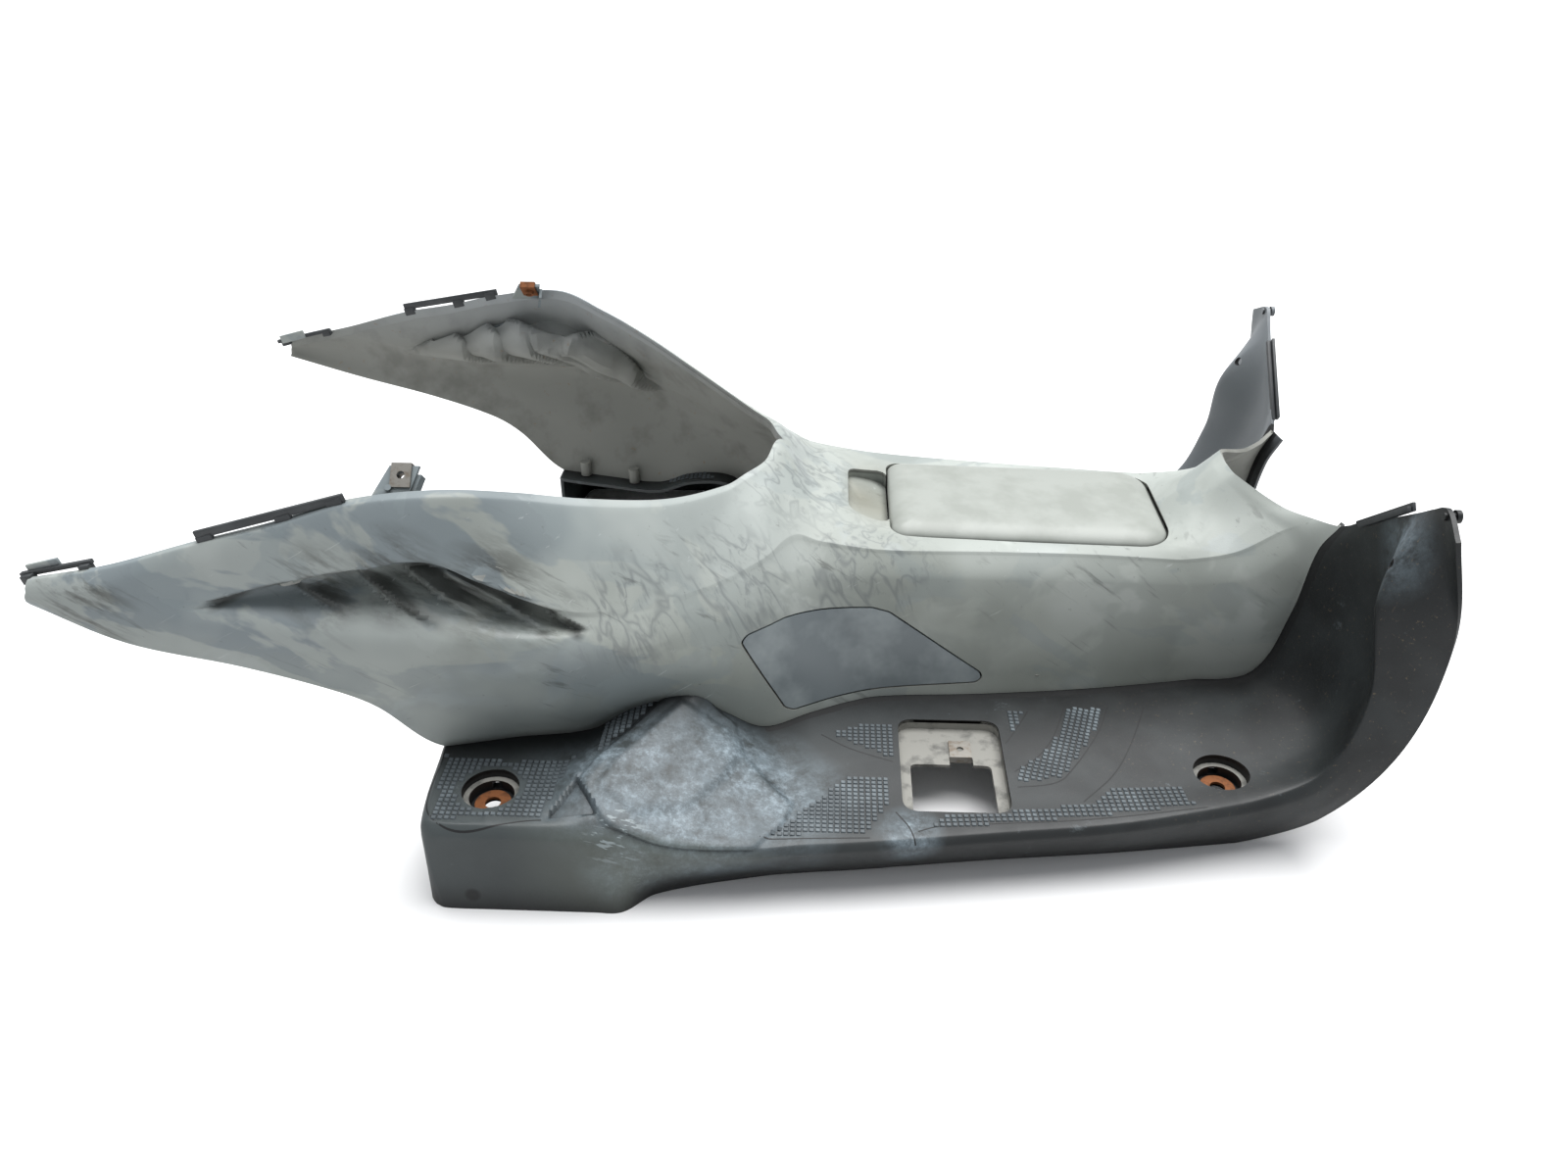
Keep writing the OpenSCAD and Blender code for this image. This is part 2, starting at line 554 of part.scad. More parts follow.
// Tab on the inner side of each wing shoulder
tab_l = 24;
tab_t = 2.5;
tab_x = -286;
module tab_frame() {
    translate(at([tab_x, 192, 246.5])) rotate([0, 0, 180]) mirror([1, 0, 0])
        rotate([45, 0, 0]) children();
}
module shoulder_tab() {
    tab_frame() difference() {
        linear_extrude(tab_t) polygon([[0, -1], [24, -1], [31, tab_l], [12, tab_l]]);
        translate([20, tab_l - 8, -1]) cylinder(h = tab_t + 2, d = nut_bore + 2);
    }
    tab_frame() translate([24, 0, -8]) linear_extrude(8.5)
        polygon([[0, -1], [2.4, -1], [8, 19], [5.6, 19]]);
}

// Sheet steel clip nut round a plate of thickness t, its fold at y = fold
module clip_nut(t, w, l) {
    gap = t + 2 * seat;
    difference() {
        union() {
            difference() {
                translate([-w / 2, -l / 2, -seat - nut_t]) cube([w, l, gap + 2 * nut_t]);
                translate([-w / 2 - 1, -l / 2 - 1, -seat]) cube([w + 2, l + 1 - nut_t, gap]);
            }
            translate([0, 0, -seat - nut_t - 3]) cylinder(h = 3.5, d = nut_bore + 3);
        }
        translate([0, 0, -seat - nut_t - 4]) cylinder(h = gap + 2 * nut_t + 8, d = nut_bore);
    }
}

// Bosses for the seam screws, inside the lower edge of the cover, at stations along the seam
screw_stations = [2.5, 3.5, 12.5, 13.5];
boss_in = 7.5;
boss_in_rear = 5.8;
boss_h = 14;
screw_head_d = 8;
screw_head_h = 2.5;
core_play = 0.1;
function flange_top(u) = let (p = along(column(board_rows, 1), u, board_u_ease))
    [p[0], p[1] - (u < 6 ? boss_in_rear : boss_in), u < top_row + 1 ? min(p[2], block_top) : p[2]];
module at_screws(z) {
    for (u = screw_stations) translate(flange_top(u) + [0, 0, z]) children();
}
module seam_bosses() at_screws(seat) cylinder(h = boss_h, d = boss_d);
module seam_cores() at_screws(-1) cylinder(h = boss_h - 1, d = screw_d + 2 * core_play);
module screws() at_screws(-board_wall - seat - screw_head_h) {
    cylinder(h = screw_head_h, d = screw_head_d);
    cylinder(h = screw_head_h + board_wall + 10, d = screw_d);
}
module screw_holes() at_screws(-board_wall - 2) cylinder(h = board_wall + 4, d = screw_d + 1);

module both_sides() {
    children();
    mirror([0, 1, 0]) children();
}

module tunnel_cover() color(grey) {
    difference() {
        union() {
            cover_shell();
            tray();
            both_sides() {
                seam_bosses();
                wing_tongues();
                shoulder_tab();
            }
        }
        pocket();
        hatch_prism(0);
        both_sides() seam_cores();
    }
    difference() {
        in_pocket();
        hinge_bore();
    }
    hatch_ledge_ring();
}

// Round recesses for the mounts of the floorboard
cups = [[-218, 253, 66], [281, 196, 46]];
cup_base = 2.5;
base_bore = 13;
module cup_blank(p) translate(at(p) - [0, 0, cup_depth + cup_base])
    cylinder(h = cup_depth + cup_base - 0.8, d = cup_d + 2 * cup_wall);
module cup_cut(p) {
    translate(at(p) - [0, 0, cup_step]) cylinder(h = cup_step + 10, d = cup_d);
    translate(at(p) - [0, 0, cup_depth]) cylinder(h = cup_depth, d = cup_low_d);
    translate(at(p) - [0, 0, cup_depth + cup_base + 1]) cylinder(h = 10, d = base_bore);
    translate(at(p) - [3.5, cup_low_d / 2 + 6, cup_depth - 1]) cube([7, 10, 6]);
}
module washer(p) color(steel) translate(at(p) - [0, 0, cup_depth - seat]) difference() {
    cylinder(h = washer_t, d = washer_d);
    translate([0, 0, -1]) cylinder(h = washer_t + 2, d = washer_bore);
}

// Square opening in the floor with its sunk ledge
well = [94, 193.5, 46];
well_floor = 2.5;
module round_box(l, w, r, h) linear_extrude(h) {
    square([l - 2 * r, w], center = true);
    square([l, w - 2 * r], center = true);
    for (x = [r - l / 2, l / 2 - r]) for (y = [r - w / 2, w / 2 - r]) translate([x, y])
        circle(r = r);
}
module well_blank() translate(at(well) - [0, 0, well_depth + well_floor])
    round_box(well_l + 2 * board_wall, well_w + 2 * board_wall, well_r + board_wall,
        well_depth + well_floor - 1);
hole_l = well_l - 2 * well_ledge;
hole_w = well_w - well_shelf;
nut_l = 18;
notch_w = nut_w + 1;
notch_l = 8.5;
nut_x = 8;
module well_cut() translate(at(well)) {
    translate([0, 0, -well_depth]) round_box(well_l, well_w, well_r, well_depth + 10);
    translate([-hole_l / 2, well_shelf - well_w / 2, -well_depth - 5])
        cube([hole_l, hole_w - 2, 10]);
    translate([nut_x - notch_w / 2, well_shelf - well_w / 2 - notch_l, -well_depth - 5])
        cube([notch_w, notch_l + 1, 10]);
    translate([nut_x, well_shelf - well_w / 2 - notch_l - nut_l / 2, -well_depth - 5])
        cylinder(h = 10, d = nut_bore + 4);
}
module hatch_nut() color(steel)
    translate(at(well) + [nut_x, well_shelf - well_w / 2 - notch_l - nut_l / 2 + nut_t + seat,
        -well_depth - well_floor]) clip_nut(well_floor, nut_w, nut_l);

// Screw hole, stop pin and top tongue of the toe board
ear_hole = [363, 172, 205];
ear_pin = [379, 184, 247];
module ear_fittings() {
    translate(at(ear_pin)) rotate([0, 90, 0]) cylinder(h = 10, d = 5);
    plank(at([377, 92, 185]), at([380, 150, 232]), 2.5, 6);
    plank(at([374, 92, 184]), at([377, 150, 231]), 3, 4);
}
module board() {
    difference() {
        union() {
            board_shell();
            for (p = cups) cup_blank(p);
            well_blank();
            ear_fittings();
        }
        for (p = cups) cup_cut(p);
        well_cut();
        screw_holes();
        translate(at(ear_hole) - [25, 0, 0]) rotate([0, 90, 0]) cylinder(h = 50, d = ear_hole_d);
    }
}

module right_floorboard() color(black) mirror([0, 1, 0]) board();
module left_floorboard() color(black) board();
module front_right_washer() mirror([0, 1, 0]) washer(cups[1]);
module rear_right_washer() mirror([0, 1, 0]) washer(cups[0]);
module front_left_washer() washer(cups[1]);
module rear_left_washer() washer(cups[0]);
module right_hatch_nut() mirror([0, 1, 0]) hatch_nut();
module left_hatch_nut() hatch_nut();
module wing_nut() color(steel) tab_frame() translate([20, tab_l - 8 + nut_t + seat, 0])
    clip_nut(tab_t, 13, 16);
module left_wing_nut() wing_nut();
module right_wing_nut() mirror([0, 1, 0]) wing_nut();
module left_seam_screws() color(steel) screws();
module right_seam_screws() color(steel) mirror([0, 1, 0]) screws();

tunnel_cover();
right_floorboard();
left_floorboard();
filler_lid();
lid_hinge_pin();
side_cover();
front_right_washer();
rear_right_washer();
front_left_washer();
rear_left_washer();
right_hatch_nut();
left_hatch_nut();
right_wing_nut();
left_wing_nut();
right_seam_screws();
left_seam_screws();
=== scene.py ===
import bpy, bmesh, math
import numpy as np
from mathutils import Vector, Matrix
from mathutils.bvhtree import BVHTree
from mathutils.kdtree import KDTree


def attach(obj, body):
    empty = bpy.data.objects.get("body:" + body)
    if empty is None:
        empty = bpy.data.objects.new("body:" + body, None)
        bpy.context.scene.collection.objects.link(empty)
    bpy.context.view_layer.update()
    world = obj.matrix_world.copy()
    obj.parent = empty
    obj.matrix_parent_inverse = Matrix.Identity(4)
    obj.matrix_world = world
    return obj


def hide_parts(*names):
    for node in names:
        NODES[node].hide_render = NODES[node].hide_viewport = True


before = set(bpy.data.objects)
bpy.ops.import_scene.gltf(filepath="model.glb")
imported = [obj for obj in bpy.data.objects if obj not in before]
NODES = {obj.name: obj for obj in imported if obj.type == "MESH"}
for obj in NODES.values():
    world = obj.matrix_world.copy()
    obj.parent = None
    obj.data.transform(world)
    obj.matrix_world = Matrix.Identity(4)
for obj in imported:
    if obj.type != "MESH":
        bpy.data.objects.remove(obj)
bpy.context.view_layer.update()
DATUM = 63.0          # row frame x of the drawing's datum plane, mm

# ---- section tables, in mm
SEAM = [[-260, 212, 66], [-212, 200, 66], [-162, 190, 66.5], [-128, 181, 81], [-90, 173, 83.5],
    [-68, 167, 66], [-41, 158, 46.5], [-8, 140, 46], [18, 127, 46], [44, 118, 46],
    [121, 112, 46], [206, 102, 46], [290, 88, 47], [332, 86, 54], [352, 81, 105],
    [360, 79, 160], [370, 81, 181]]
WING_SECTIONS = [
    [[-508, 211, 198], [-509, 214, 197.5], [-510, 217, 194], [-510, 218.5, 191],
     [-511, 219.5, 188], [-512, 218.5, 184], [-512, 216, 180]],
    [[-455, 212, 209], [-455, 216, 208], [-455, 221, 202], [-455, 224, 196],
     [-454, 226.5, 182], [-453, 226.5, 170], [-452, 224, 157]],
    [[-394, 208, 226], [-394, 213, 225], [-395, 218, 214], [-396, 221, 190],
     [-392, 226, 174], [-386, 226, 156], [-380, 222, 138]],
    [[-345, 201, 237], [-345, 207, 235], [-344, 212, 222], [-340, 217, 198],
     [-335, 226, 170], [-330, 226, 148], [-325, 220, 119]],
    [[-300, 193, 249], [-300, 199, 247], [-300, 207, 232], [-300, 215, 208],
     [-300, 227, 168], [-300, 225, 138], [-300, 217, 104]],
    [[-243, 189, 255], [-243, 196, 253], [-246, 204, 240], [-250, 213, 217],
     [-252, 227, 166], [-256, 222, 118], SEAM[0]],
    [[-200, 170, 244], [-201, 177, 242], [-204, 190, 228], [-207, 208, 193],
     [-208, 224, 158], [-209, 216, 112], SEAM[1]],
    [[-159, 149, 229], [-160, 157, 227], [-161, 177, 206], [-161, 199, 172],
     [-161, 212, 146], [-162, 206, 106], SEAM[2]],
    [[-110, 114, 211], [-111, 122, 209], [-115, 146, 190], [-120, 173, 162],
     [-120, 190, 138], [-123, 192, 112], SEAM[3]],
    [[-72, 75, 202], [-73, 83, 200], [-78, 108, 184], [-82, 142, 157],
     [-84, 162, 134], [-86, 174, 110], SEAM[4]],
    [[-59, 56, 202], [-59, 64, 200], [-61, 91, 185], [-62, 125, 158],
     [-62, 147, 133], [-65, 162, 104], SEAM[5]],
    [[-46, 36, 202.5], [-46, 44, 200.5], [-44, 74, 186], [-42, 108, 162],
     [-40, 131, 132], [-40, 148, 92], SEAM[6]]]
TUNNEL_SECTIONS = [
    [[-34, 0, 204], [-33, 20, 202], [-28, 50, 187], [-22, 82, 166],
     [-16, 108, 136], [-12, 126, 94], SEAM[7]],
    [[-12, 0, 179], [-10, 24, 178], [-6, 56, 171], [-3, 82, 161],
     [3, 100, 138], [10, 114, 94], SEAM[8]],
    [[37, 0, 157], [38, 28, 157], [40, 62, 156.6], [42, 81, 154],
     [43, 94, 136], [44, 107, 92], SEAM[9]],
    [[121, 0, 151.8], [121, 28, 151.8], [121, 63, 151.6], [121, 75, 150.5],
     [121, 89, 134], [121, 102, 90], SEAM[10]],
    [[200, 0, 149.8], [200, 28, 149.8], [200, 62, 149.4], [201, 71, 147.5],
     [203, 83, 130], [205, 94, 88], SEAM[11]],
    [[260, 0, 149.5], [260, 28, 149.5], [262, 61, 148.5], [266, 70, 144],
     [274, 79, 126], [282, 86, 88], SEAM[12]],
    [[285, 0, 170], [287, 22, 168.5], [296, 49, 159], [305, 68, 150],
     [315, 79, 132], [325, 85, 95], SEAM[13]],
    [[300, 0, 185], [303, 21, 184], [322, 46, 172], [338, 62, 166],
     [346, 73, 152], [350, 79, 130], SEAM[14]],
    [[304, 0, 188], [306.5, 21, 187.5], [331, 48, 176], [348, 64, 172],
     [355, 72, 168], [358, 76, 164], SEAM[15]],
    [[308, 0, 191], [310, 21, 191], [339, 49, 179], [357, 66, 178.5],
     [363.5, 74, 179.5], [367, 78, 180], SEAM[16]]]
REAR_WALL_LOW = [[-263, 198, 0], [-263, 212, 0], [-262, 240, 0], [-261, 262, 0],
    [-259, 282, 0], [-257, 289, 0], [-253, 294, 0], [-248, 297, 0]]
REAR_WALL_HIGH = [[-262.5, 198, 60], [-262.5, 212, 60], [-261.5, 240, 60], [-260, 262, 60],
    [-257, 283, 59], [-254, 290, 52], [-251, 294.5, 32], [-246, 297.5, 0]]
BOARD_SECTIONS = [
    [[-257, 240, 66], [-255, 262, 66], [-250, 284, 65.5], [-247, 291.5, 58],
     [-243, 295, 32], [-238, 298, 0]],
    [[-214, 230, 66], [-217, 256, 66], [-214, 286, 65.5], [-214, 292, 58],
     [-214, 295, 32], [-214, 298, 0]],
    [[-170, 215, 66], [-178, 248, 66], [-173, 285, 65.5], [-171, 292, 58],
     [-169, 295, 31], [-167, 298, 0]],
    [[-146, 212, 75], [-165, 250, 71], [-158, 283, 65.5], [-154, 291, 57],
     [-151, 295, 30], [-148, 298, 0]],
    [[-118, 210, 79.5], [-148, 250, 74.5], [-144, 279, 66], [-138, 289, 56],
     [-134, 294, 30], [-128, 297, 0]],
    [[-78, 206, 69], [-92, 246, 63], [-98, 285, 52], [-99, 289.5, 45],
     [-102, 287, 24], [-107, 280, 0]],
    [[-28, 200, 46.5], [-24, 238, 46.5], [-44, 281, 46], [-44, 285, 40],
     [-42, 277, 21], [-40, 262, 0]],
    [[0, 188, 46], [2, 235, 46], [-10, 276, 46], [-10, 280.5, 40],
     [-9, 273, 21], [-8, 257, 0]],
    [[22, 186, 46], [22, 236, 46], [20, 273, 46], [20, 277.5, 40],
     [20, 270, 21], [20, 254, 0]],
    [[50, 184, 46], [52, 238, 46], [52, 269, 46], [52, 273.5, 40],
     [52, 266, 21], [52, 249.5, 0]],
    [[121, 180, 46], [121, 230, 46], [121, 259.5, 46], [121, 264, 40],
     [121, 256.5, 21], [121, 240, 0]],
    [[206, 170, 46], [206, 218, 46], [206, 247, 46], [206, 251.5, 40],
     [206, 245, 21], [206, 230, 0]],
    [[290, 150, 47], [284, 200, 46.5], [285, 229, 49], [287, 234, 43],
     [290, 229, 23], [294, 217, 0]],
    [[352, 135, 60], [352, 178, 62], [337, 217, 66], [341, 222, 58],
     [345, 221, 41], [348, 215, 23]],
    [[372, 125, 110], [375, 168, 112], [358, 208, 122], [365, 214, 115],
     [374, 220, 103], [382, 223, 92]],
    [[376, 112, 173], [378, 146, 183], [356, 183, 186], [365, 196, 187],
     [379, 211, 186], [390, 222, 178]],
    [[375, 113, 203], [377, 141, 223], [379, 159, 236], [380, 171, 245],
     [381, 182, 251], [379, 206, 241]]]


# ---- lofted surfaces
def unit(v):
    return v / np.maximum(np.linalg.norm(v, axis=-1, keepdims=True), 1e-9)


def along(P, t, ease):
    """Smooth curve through the points P[k] at the places t; ease 1 is round and 0 a crease."""
    P, t, ease = np.asarray(P, float), np.asarray(t, float), np.asarray(ease, float)
    n = len(P)
    k = np.minimum(np.floor(t).astype(int), n - 2)
    f = (t - k).reshape(-1, *[1] * (P.ndim - 1))
    head = unit(P[np.minimum(np.arange(n) + 1, n - 1)] - P[np.maximum(np.arange(n) - 1, 0)])
    d = np.linalg.norm(P[k + 1] - P[k], axis=-1, keepdims=True)
    e = ease.reshape(-1, *[1] * (P.ndim - 1))
    a, b = head[k] * d * e[k], head[k + 1] * d * e[k + 1]
    return (P[k] * (1 - 3 * f**2 + 2 * f**3) + P[k + 1] * (3 * f**2 - 2 * f**3)
            + a * (f - 2 * f**2 + f**3) + b * (f**3 - f**2))


def loft(rows, us, vs, u_ease, ease):
    sec = along(rows, us, u_ease)
    return along(sec.transpose(1, 0, 2), vs, ease).transpose(1, 0, 2)


def normals(g):
    du = np.concatenate([g[1:2] - g[:1], g[2:] - g[:-2], g[-1:] - g[-2:-1]])
    dv = np.concatenate([g[:, 1:2] - g[:, :1], g[:, 2:] - g[:, :-2], g[:, -1:] - g[:, -2:-1]], 1)
    return unit(np.cross(du, dv))


def quads(ids):
    return np.stack([ids[:-1, :-1], ids[:-1, 1:], ids[1:, 1:], ids[1:, :-1]], -1).reshape(-1, 4)


def new_object(name, verts, faces, mats=(), smooth=35, index=None):
    """Object from points in mm; shaded smooth but for edges sharper than the angle."""
    me = bpy.data.meshes.new(name)
    me.from_pydata([tuple(p) for p in np.asarray(verts) / 1000], [],
                   [tuple(int(i) for i in f) for f in faces])
    o = bpy.data.objects.new(name, me)
    bpy.context.scene.collection.objects.link(o)
    for m in mats:
        me.materials.append(m)
    if index is not None:
        me.polygons.foreach_set("material_index", index)
    finish_mesh(o, smooth)
    return o


def shade(me, smooth):
    me.polygons.foreach_set("use_smooth", [True] * len(me.polygons))
    me.set_sharp_from_angle(angle=math.radians(smooth))


def paint(o, mat):
    """Gives o this one material."""
    o.data.materials.clear()
    o.data.materials.append(mat)


def finish_mesh(o, smooth=35, weld=0.0):
    me = o.data
    bm = bmesh.new()
    bm.from_mesh(me)
    if weld:
        bmesh.ops.remove_doubles(bm, verts=bm.verts, dist=weld)
        bmesh.ops.dissolve_degenerate(bm, dist=weld, edges=bm.edges)
    bmesh.ops.recalc_face_normals(bm, faces=bm.faces)
    bm.to_mesh(me)
    bm.free()
    shade(me, smooth)
    me.update()


def bake(o, smooth=35):
    """Applies the modifiers of o to its mesh."""
    dg = bpy.context.evaluated_depsgraph_get()
    me = bpy.data.meshes.new_from_object(o.evaluated_get(dg))
    o.modifiers.clear()
    o.data = me
    shade(me, smooth)
    return o


def cut(o, tools, op="DIFFERENCE", smooth=35):
    for t in tools:
        m = o.modifiers.new("cut", "BOOLEAN")
        m.operation, m.solver, m.object = op, "EXACT", t
    bake(o, smooth)
    for t in tools:
        bpy.data.objects.remove(t)
    return o


def prism(points, z0, z1, axis="z"):
    """Closed prism over a plan of points: along z, or along -y for points in x and z."""
    n = len(points)
    if axis == "z":
        v = [(x, y, z0) for x, y in points] + [(x, y, z1) for x, y in points]
    else:
        v = [(x, -z0, z) for x, z in points] + [(x, -z1, z) for x, z in points]
    f = [list(range(n))[::-1], list(range(n, 2 * n))]
    f += [[k, (k + 1) % n, (k + 1) % n + n, k + n] for k in range(n)]
    return new_object("tool", v, f)


def shell(name, outer, inner, mats, weld_centre=None, smooth=35):
    """Closed wall between two grids of one half, or of both where weld_centre marks the centre rows."""
    nu, nv = outer.shape[:2]
    size = nu * nv
    o = np.arange(size).reshape(nu, nv)
    i = o + size
    free = nu if weld_centre is None else int(np.argmax(weld_centre)) + 1
    f = [quads(o), quads(i)[:, ::-1],
         quads(np.stack([i[:free, 0], o[:free, 0]], 1)), quads(np.stack([o[:, -1], i[:, -1]], 1)),
         quads(np.stack([i[0], o[0]])), quads(np.stack([o[-1], i[-1]]))]
    f = np.concatenate(f)
    v = np.concatenate([outer.reshape(-1, 3), inner.reshape(-1, 3)])
    if weld_centre is not None:
        f = np.concatenate([f, f[:, ::-1] + len(v)])
        v = np.concatenate([v, v * [1, -1, 1]])
    ob = new_object(name, v, f, mats, smooth)
    finish_mesh(ob, smooth, weld=2e-6)
    return ob


def at(p):
    return np.asarray(p, float) + [DATUM, 0, 0]


def mirror(o, name):
    """Copy of o on the other side of the centre plane."""
    c = o.copy()
    c.data = o.data.copy()
    c.name = c.data.name = name
    c.data.transform(Matrix.Diagonal((1, -1, 1, 1)))
    c.data.flip_normals()
    bpy.context.scene.collection.objects.link(c)
    return c


def rounded(points, r, n=5):
    """Plan with its corners rounded to radius r."""
    P, out = [np.array(p, float) for p in points], []
    for k, p in enumerate(P):
        a, b = unit(P[k - 1] - p), unit(P[(k + 1) % len(P)] - p)
        half = math.acos(np.clip(a @ b, -1, 1)) / 2
        t = min(r / math.tan(half), 0.45 * np.linalg.norm(P[k - 1] - p),
                0.45 * np.linalg.norm(P[(k + 1) % len(P)] - p))
        for s in np.linspace(0, 1, n):
            out.append(p + a * t * (1 - s) ** 2 + b * t * s**2)
    return out


def inset(points, d):
    """Plan moved inwards by d; the points run anticlockwise."""
    P, out = [np.array(p, float) for p in points], []
    for k, p in enumerate(P):
        a, b = unit(p - P[k - 1]), unit(P[(k + 1) % len(P)] - p)
        na, nb = np.array([-a[1], a[0]]), np.array([-b[1], b[0]])
        m = unit(na + nb)
        out.append(p + m * d / max(m @ na, 0.3))
    return out


# ---- tunnel cover
COVER_WALL, BOARD_WALL = 3.0, 3.0
FOOT_Z = 66              # height of the cover's foot at the foot block, mm
SEAM_GAP = 0.4           # between the cover's foot and the floorboard, mm
SCOOP = [0, 0, 0.05, 0.55, 0.95, 1, 0.8, 0.1]
cover_rows = []
for i, r in enumerate(WING_SECTIONS + TUNNEL_SECTIONS):
    r = [np.array(p, float) for p in r]
    share = SCOOP[i] if i < len(SCOOP) else 0
    floor = r[3] * 0.88 + r[4] * 0.12 - share * np.array([0, 15, 4])
    cover_rows.append([at(p) for p in r[:4] + [floor] + r[4:]])
cover_rows = np.array(cover_rows)
FIRST = len(WING_SECTIONS)
cover_ease = [1, 0.6, 1, 0.35, 0.35, 1, 1, 1]
cover_u_ease = [0.2 if i == 17 else 1 for i in range(len(cover_rows))]


def cover_grid(us, vs, d=0.0):
    g = loft(cover_rows, us, vs, cover_u_ease, cover_ease)
    return g - d * normals(g) if d else g


def steps(*parts):
    """Sorted places for a grid's rows or columns, each once."""
    return np.unique(np.round(np.concatenate(parts), 6))


# Finer steps where the scoop and its fins lie
us = steps(np.arange(0, len(cover_rows) - 1 + 1e-6, 0.125), np.arange(1, 8, 0.0625))
vs = steps(np.arange(0, 7.01, 0.125), np.arange(2, 5, 0.05), [2.94, 3.06, 3.94, 4.06])
outer = cover_grid(us, vs)

# Scoop in the wing: its sharp upper edge and soft lower edge, in x and z, and the fins in it
SCOOP_TOP = [(-408, 184), (-395, 187), (-366, 196), (-334, 203), (-295, 211), (-257, 209),
             (-223, 203), (-197, 188), (-169, 170), (-152, 159)]
SCOOP_LIP = [(-408, 183), (-390, 181), (-366, 178), (-337, 172), (-299, 166), (-249, 163),
             (-201, 161), (-171, 158), (-152, 158)]
SCOOP_DEPTH = [(-408, 0), (-380, 5), (-334, 11), (-290, 13), (-257, 15), (-200, 14), (-165, 9), (-152, 0)]
SCOOP_GAIN = 1.25        # the depths above are deepened by this
FINS = [((-352, 199), (-300, 181)), ((-315, 206), (-238, 174)),
        ((-283, 211), (-212, 177)), ((-250, 208), (-176, 165))]
FIN_RISE = 6.5           # how far a fin stands out of the scoop, mm


def ramp(t):
    t = np.clip(t, 0, 1)
    return t * t * (3 - 2 * t)


def scoop_relief(g):
    x, z = g[..., 0] - DATUM, g[..., 2]
    top_z = np.interp(x, *np.array(SCOOP_TOP, float).T)
    lip_z = np.interp(x, *np.array(SCOOP_LIP, float).T)
    deep = np.interp(x, *np.array(SCOOP_DEPTH, float).T, left=0, right=0)
    t = (top_z - z) / np.maximum(top_z - lip_z, 1)
    d = SCOOP_GAIN * deep * ramp((top_z - z) / 3) * (1 - ramp((t - 0.1) / 0.9))
    for (x0, z0), (x1, z1) in FINS:
        e = unit(np.array([x1 - x0, z1 - z0], float))
        along_, off = (x - x0) * e[0] + (z - z0) * e[1], -(x - x0) * e[1] + (z - z0) * e[0]
        ln = math.hypot(x1 - x0, z1 - z0)
        ends = ramp(along_ / 12) * ramp((ln - along_) / 25)
        d -= (FIN_RISE * ends * ramp((off + 2.5) / 2.5) * (1 - ramp(off / 17)) * (deep > 0)
              * ramp(t * 8) * ramp((1 - t) * 3))
    return d


# The foot edge of the cover is level along the foot block
edge_rows = (us > 5) & (us < 6)
outer[edge_rows, -9:, 2] = np.maximum(outer[edge_rows, -9:, 2], FOOT_Z)
wing = (us <= 8.2)[:, None] & (vs >= 1.5)[None, :] & (vs <= 6)[None, :]
outer = outer - (scoop_relief(outer) * wing)[..., None] * normals(outer)
centre = us >= FIRST
outer[centre, 0, 1] = 0
inner = outer - COVER_WALL * normals(outer)
inner[:, -1] = outer[:, -1] - [0, COVER_WALL, 0]
edge = ~centre
inner[edge, 0] = outer[edge, 0] - [0, 0, 8]
first_c = int(np.argmax(centre))
inner[first_c, 0] = outer[first_c, 0] - [0, 0, 8]
line = outer[:, 0]
for i in np.where(centre)[0][1:-1]:
    t = line[i + 1] - line[i - 1]
    inner[i, 0] = line[i] - COVER_WALL * unit(np.array([-t[2], 0, t[0]]))
inner[centre, 0, 1] = 0


# ---- floorboards
def seam_dirs():
    return [[0, 0, -1]] * 13 + [[0.4, 0, -0.9], [1, 0, -0.2]] + [[1, 0, 0]] * 2


board_rows = [[at(p) for p in REAR_WALL_LOW], [at(p) for p in REAR_WALL_HIGH]]
for k, (s, d, b) in enumerate(zip(SEAM, seam_dirs(), BOARD_SECTIONS)):
    p = at(s) + SEAM_GAP * unit(np.array(d, float))
    board_rows.append([p + ([0, -20, 0] if k < 13 else [5, -12, -3]), p] + [at(q) for q in b])
board_rows = np.array(board_rows)
board_ease = [0, 0.2, 1, 1, 0.6, 0.6, 1, 1]
board_u_ease = [0 if i == 14 else 1 for i in range(len(board_rows))]

# Floor relief: plans in x from the datum and side distance, with the height and the edge width
BUMP = [(-102, 160), (-152, 230), (-163, 256), (-141, 281), (-116, 296), (-60, 290),
        (-41, 285), (-22, 262), (-14, 240), (-50, 204), (-60, 172)]
PLATE = [(-100, 176), (-140, 232), (-150, 258), (-120, 274), (-84, 262), (-62, 232),
         (-52, 204), (-64, 184)]
HOLLOW = [(-178, 281), (-140, 276), (-161, 246)]
NUB = [(-168, 246), (-160, 240), (-154, 244), (-160, 252)]
RELIEF = [(BUMP, 2.4, 5.0), (PLATE, 1.8, 7.0), (HOLLOW, -6.0, 4.0), (NUB, 2.2, 3.0)]


def signed(P, plan):
    """Distance of the points P (n, 2) to the plan's border, positive inside."""
    V = np.array(plan, float)
    W = np.roll(V, -1, 0)
    best = np.full(len(P), 1e9)
    inside = np.zeros(len(P), bool)
    for a, b in zip(V, W):
        e, w = b - a, P - a
        t = np.clip((w @ e) / (e @ e), 0, 1)
        best = np.minimum(best, np.linalg.norm(w - t[:, None] * e, axis=1))
        c = (a[1] > P[:, 1]) != (b[1] > P[:, 1])
        x = a[0] + (P[:, 1] - a[1]) * (b[0] - a[0]) / (b[1] - a[1] + 1e-12)
        inside ^= c & (P[:, 0] < x)
    return np.where(inside, best, -best)


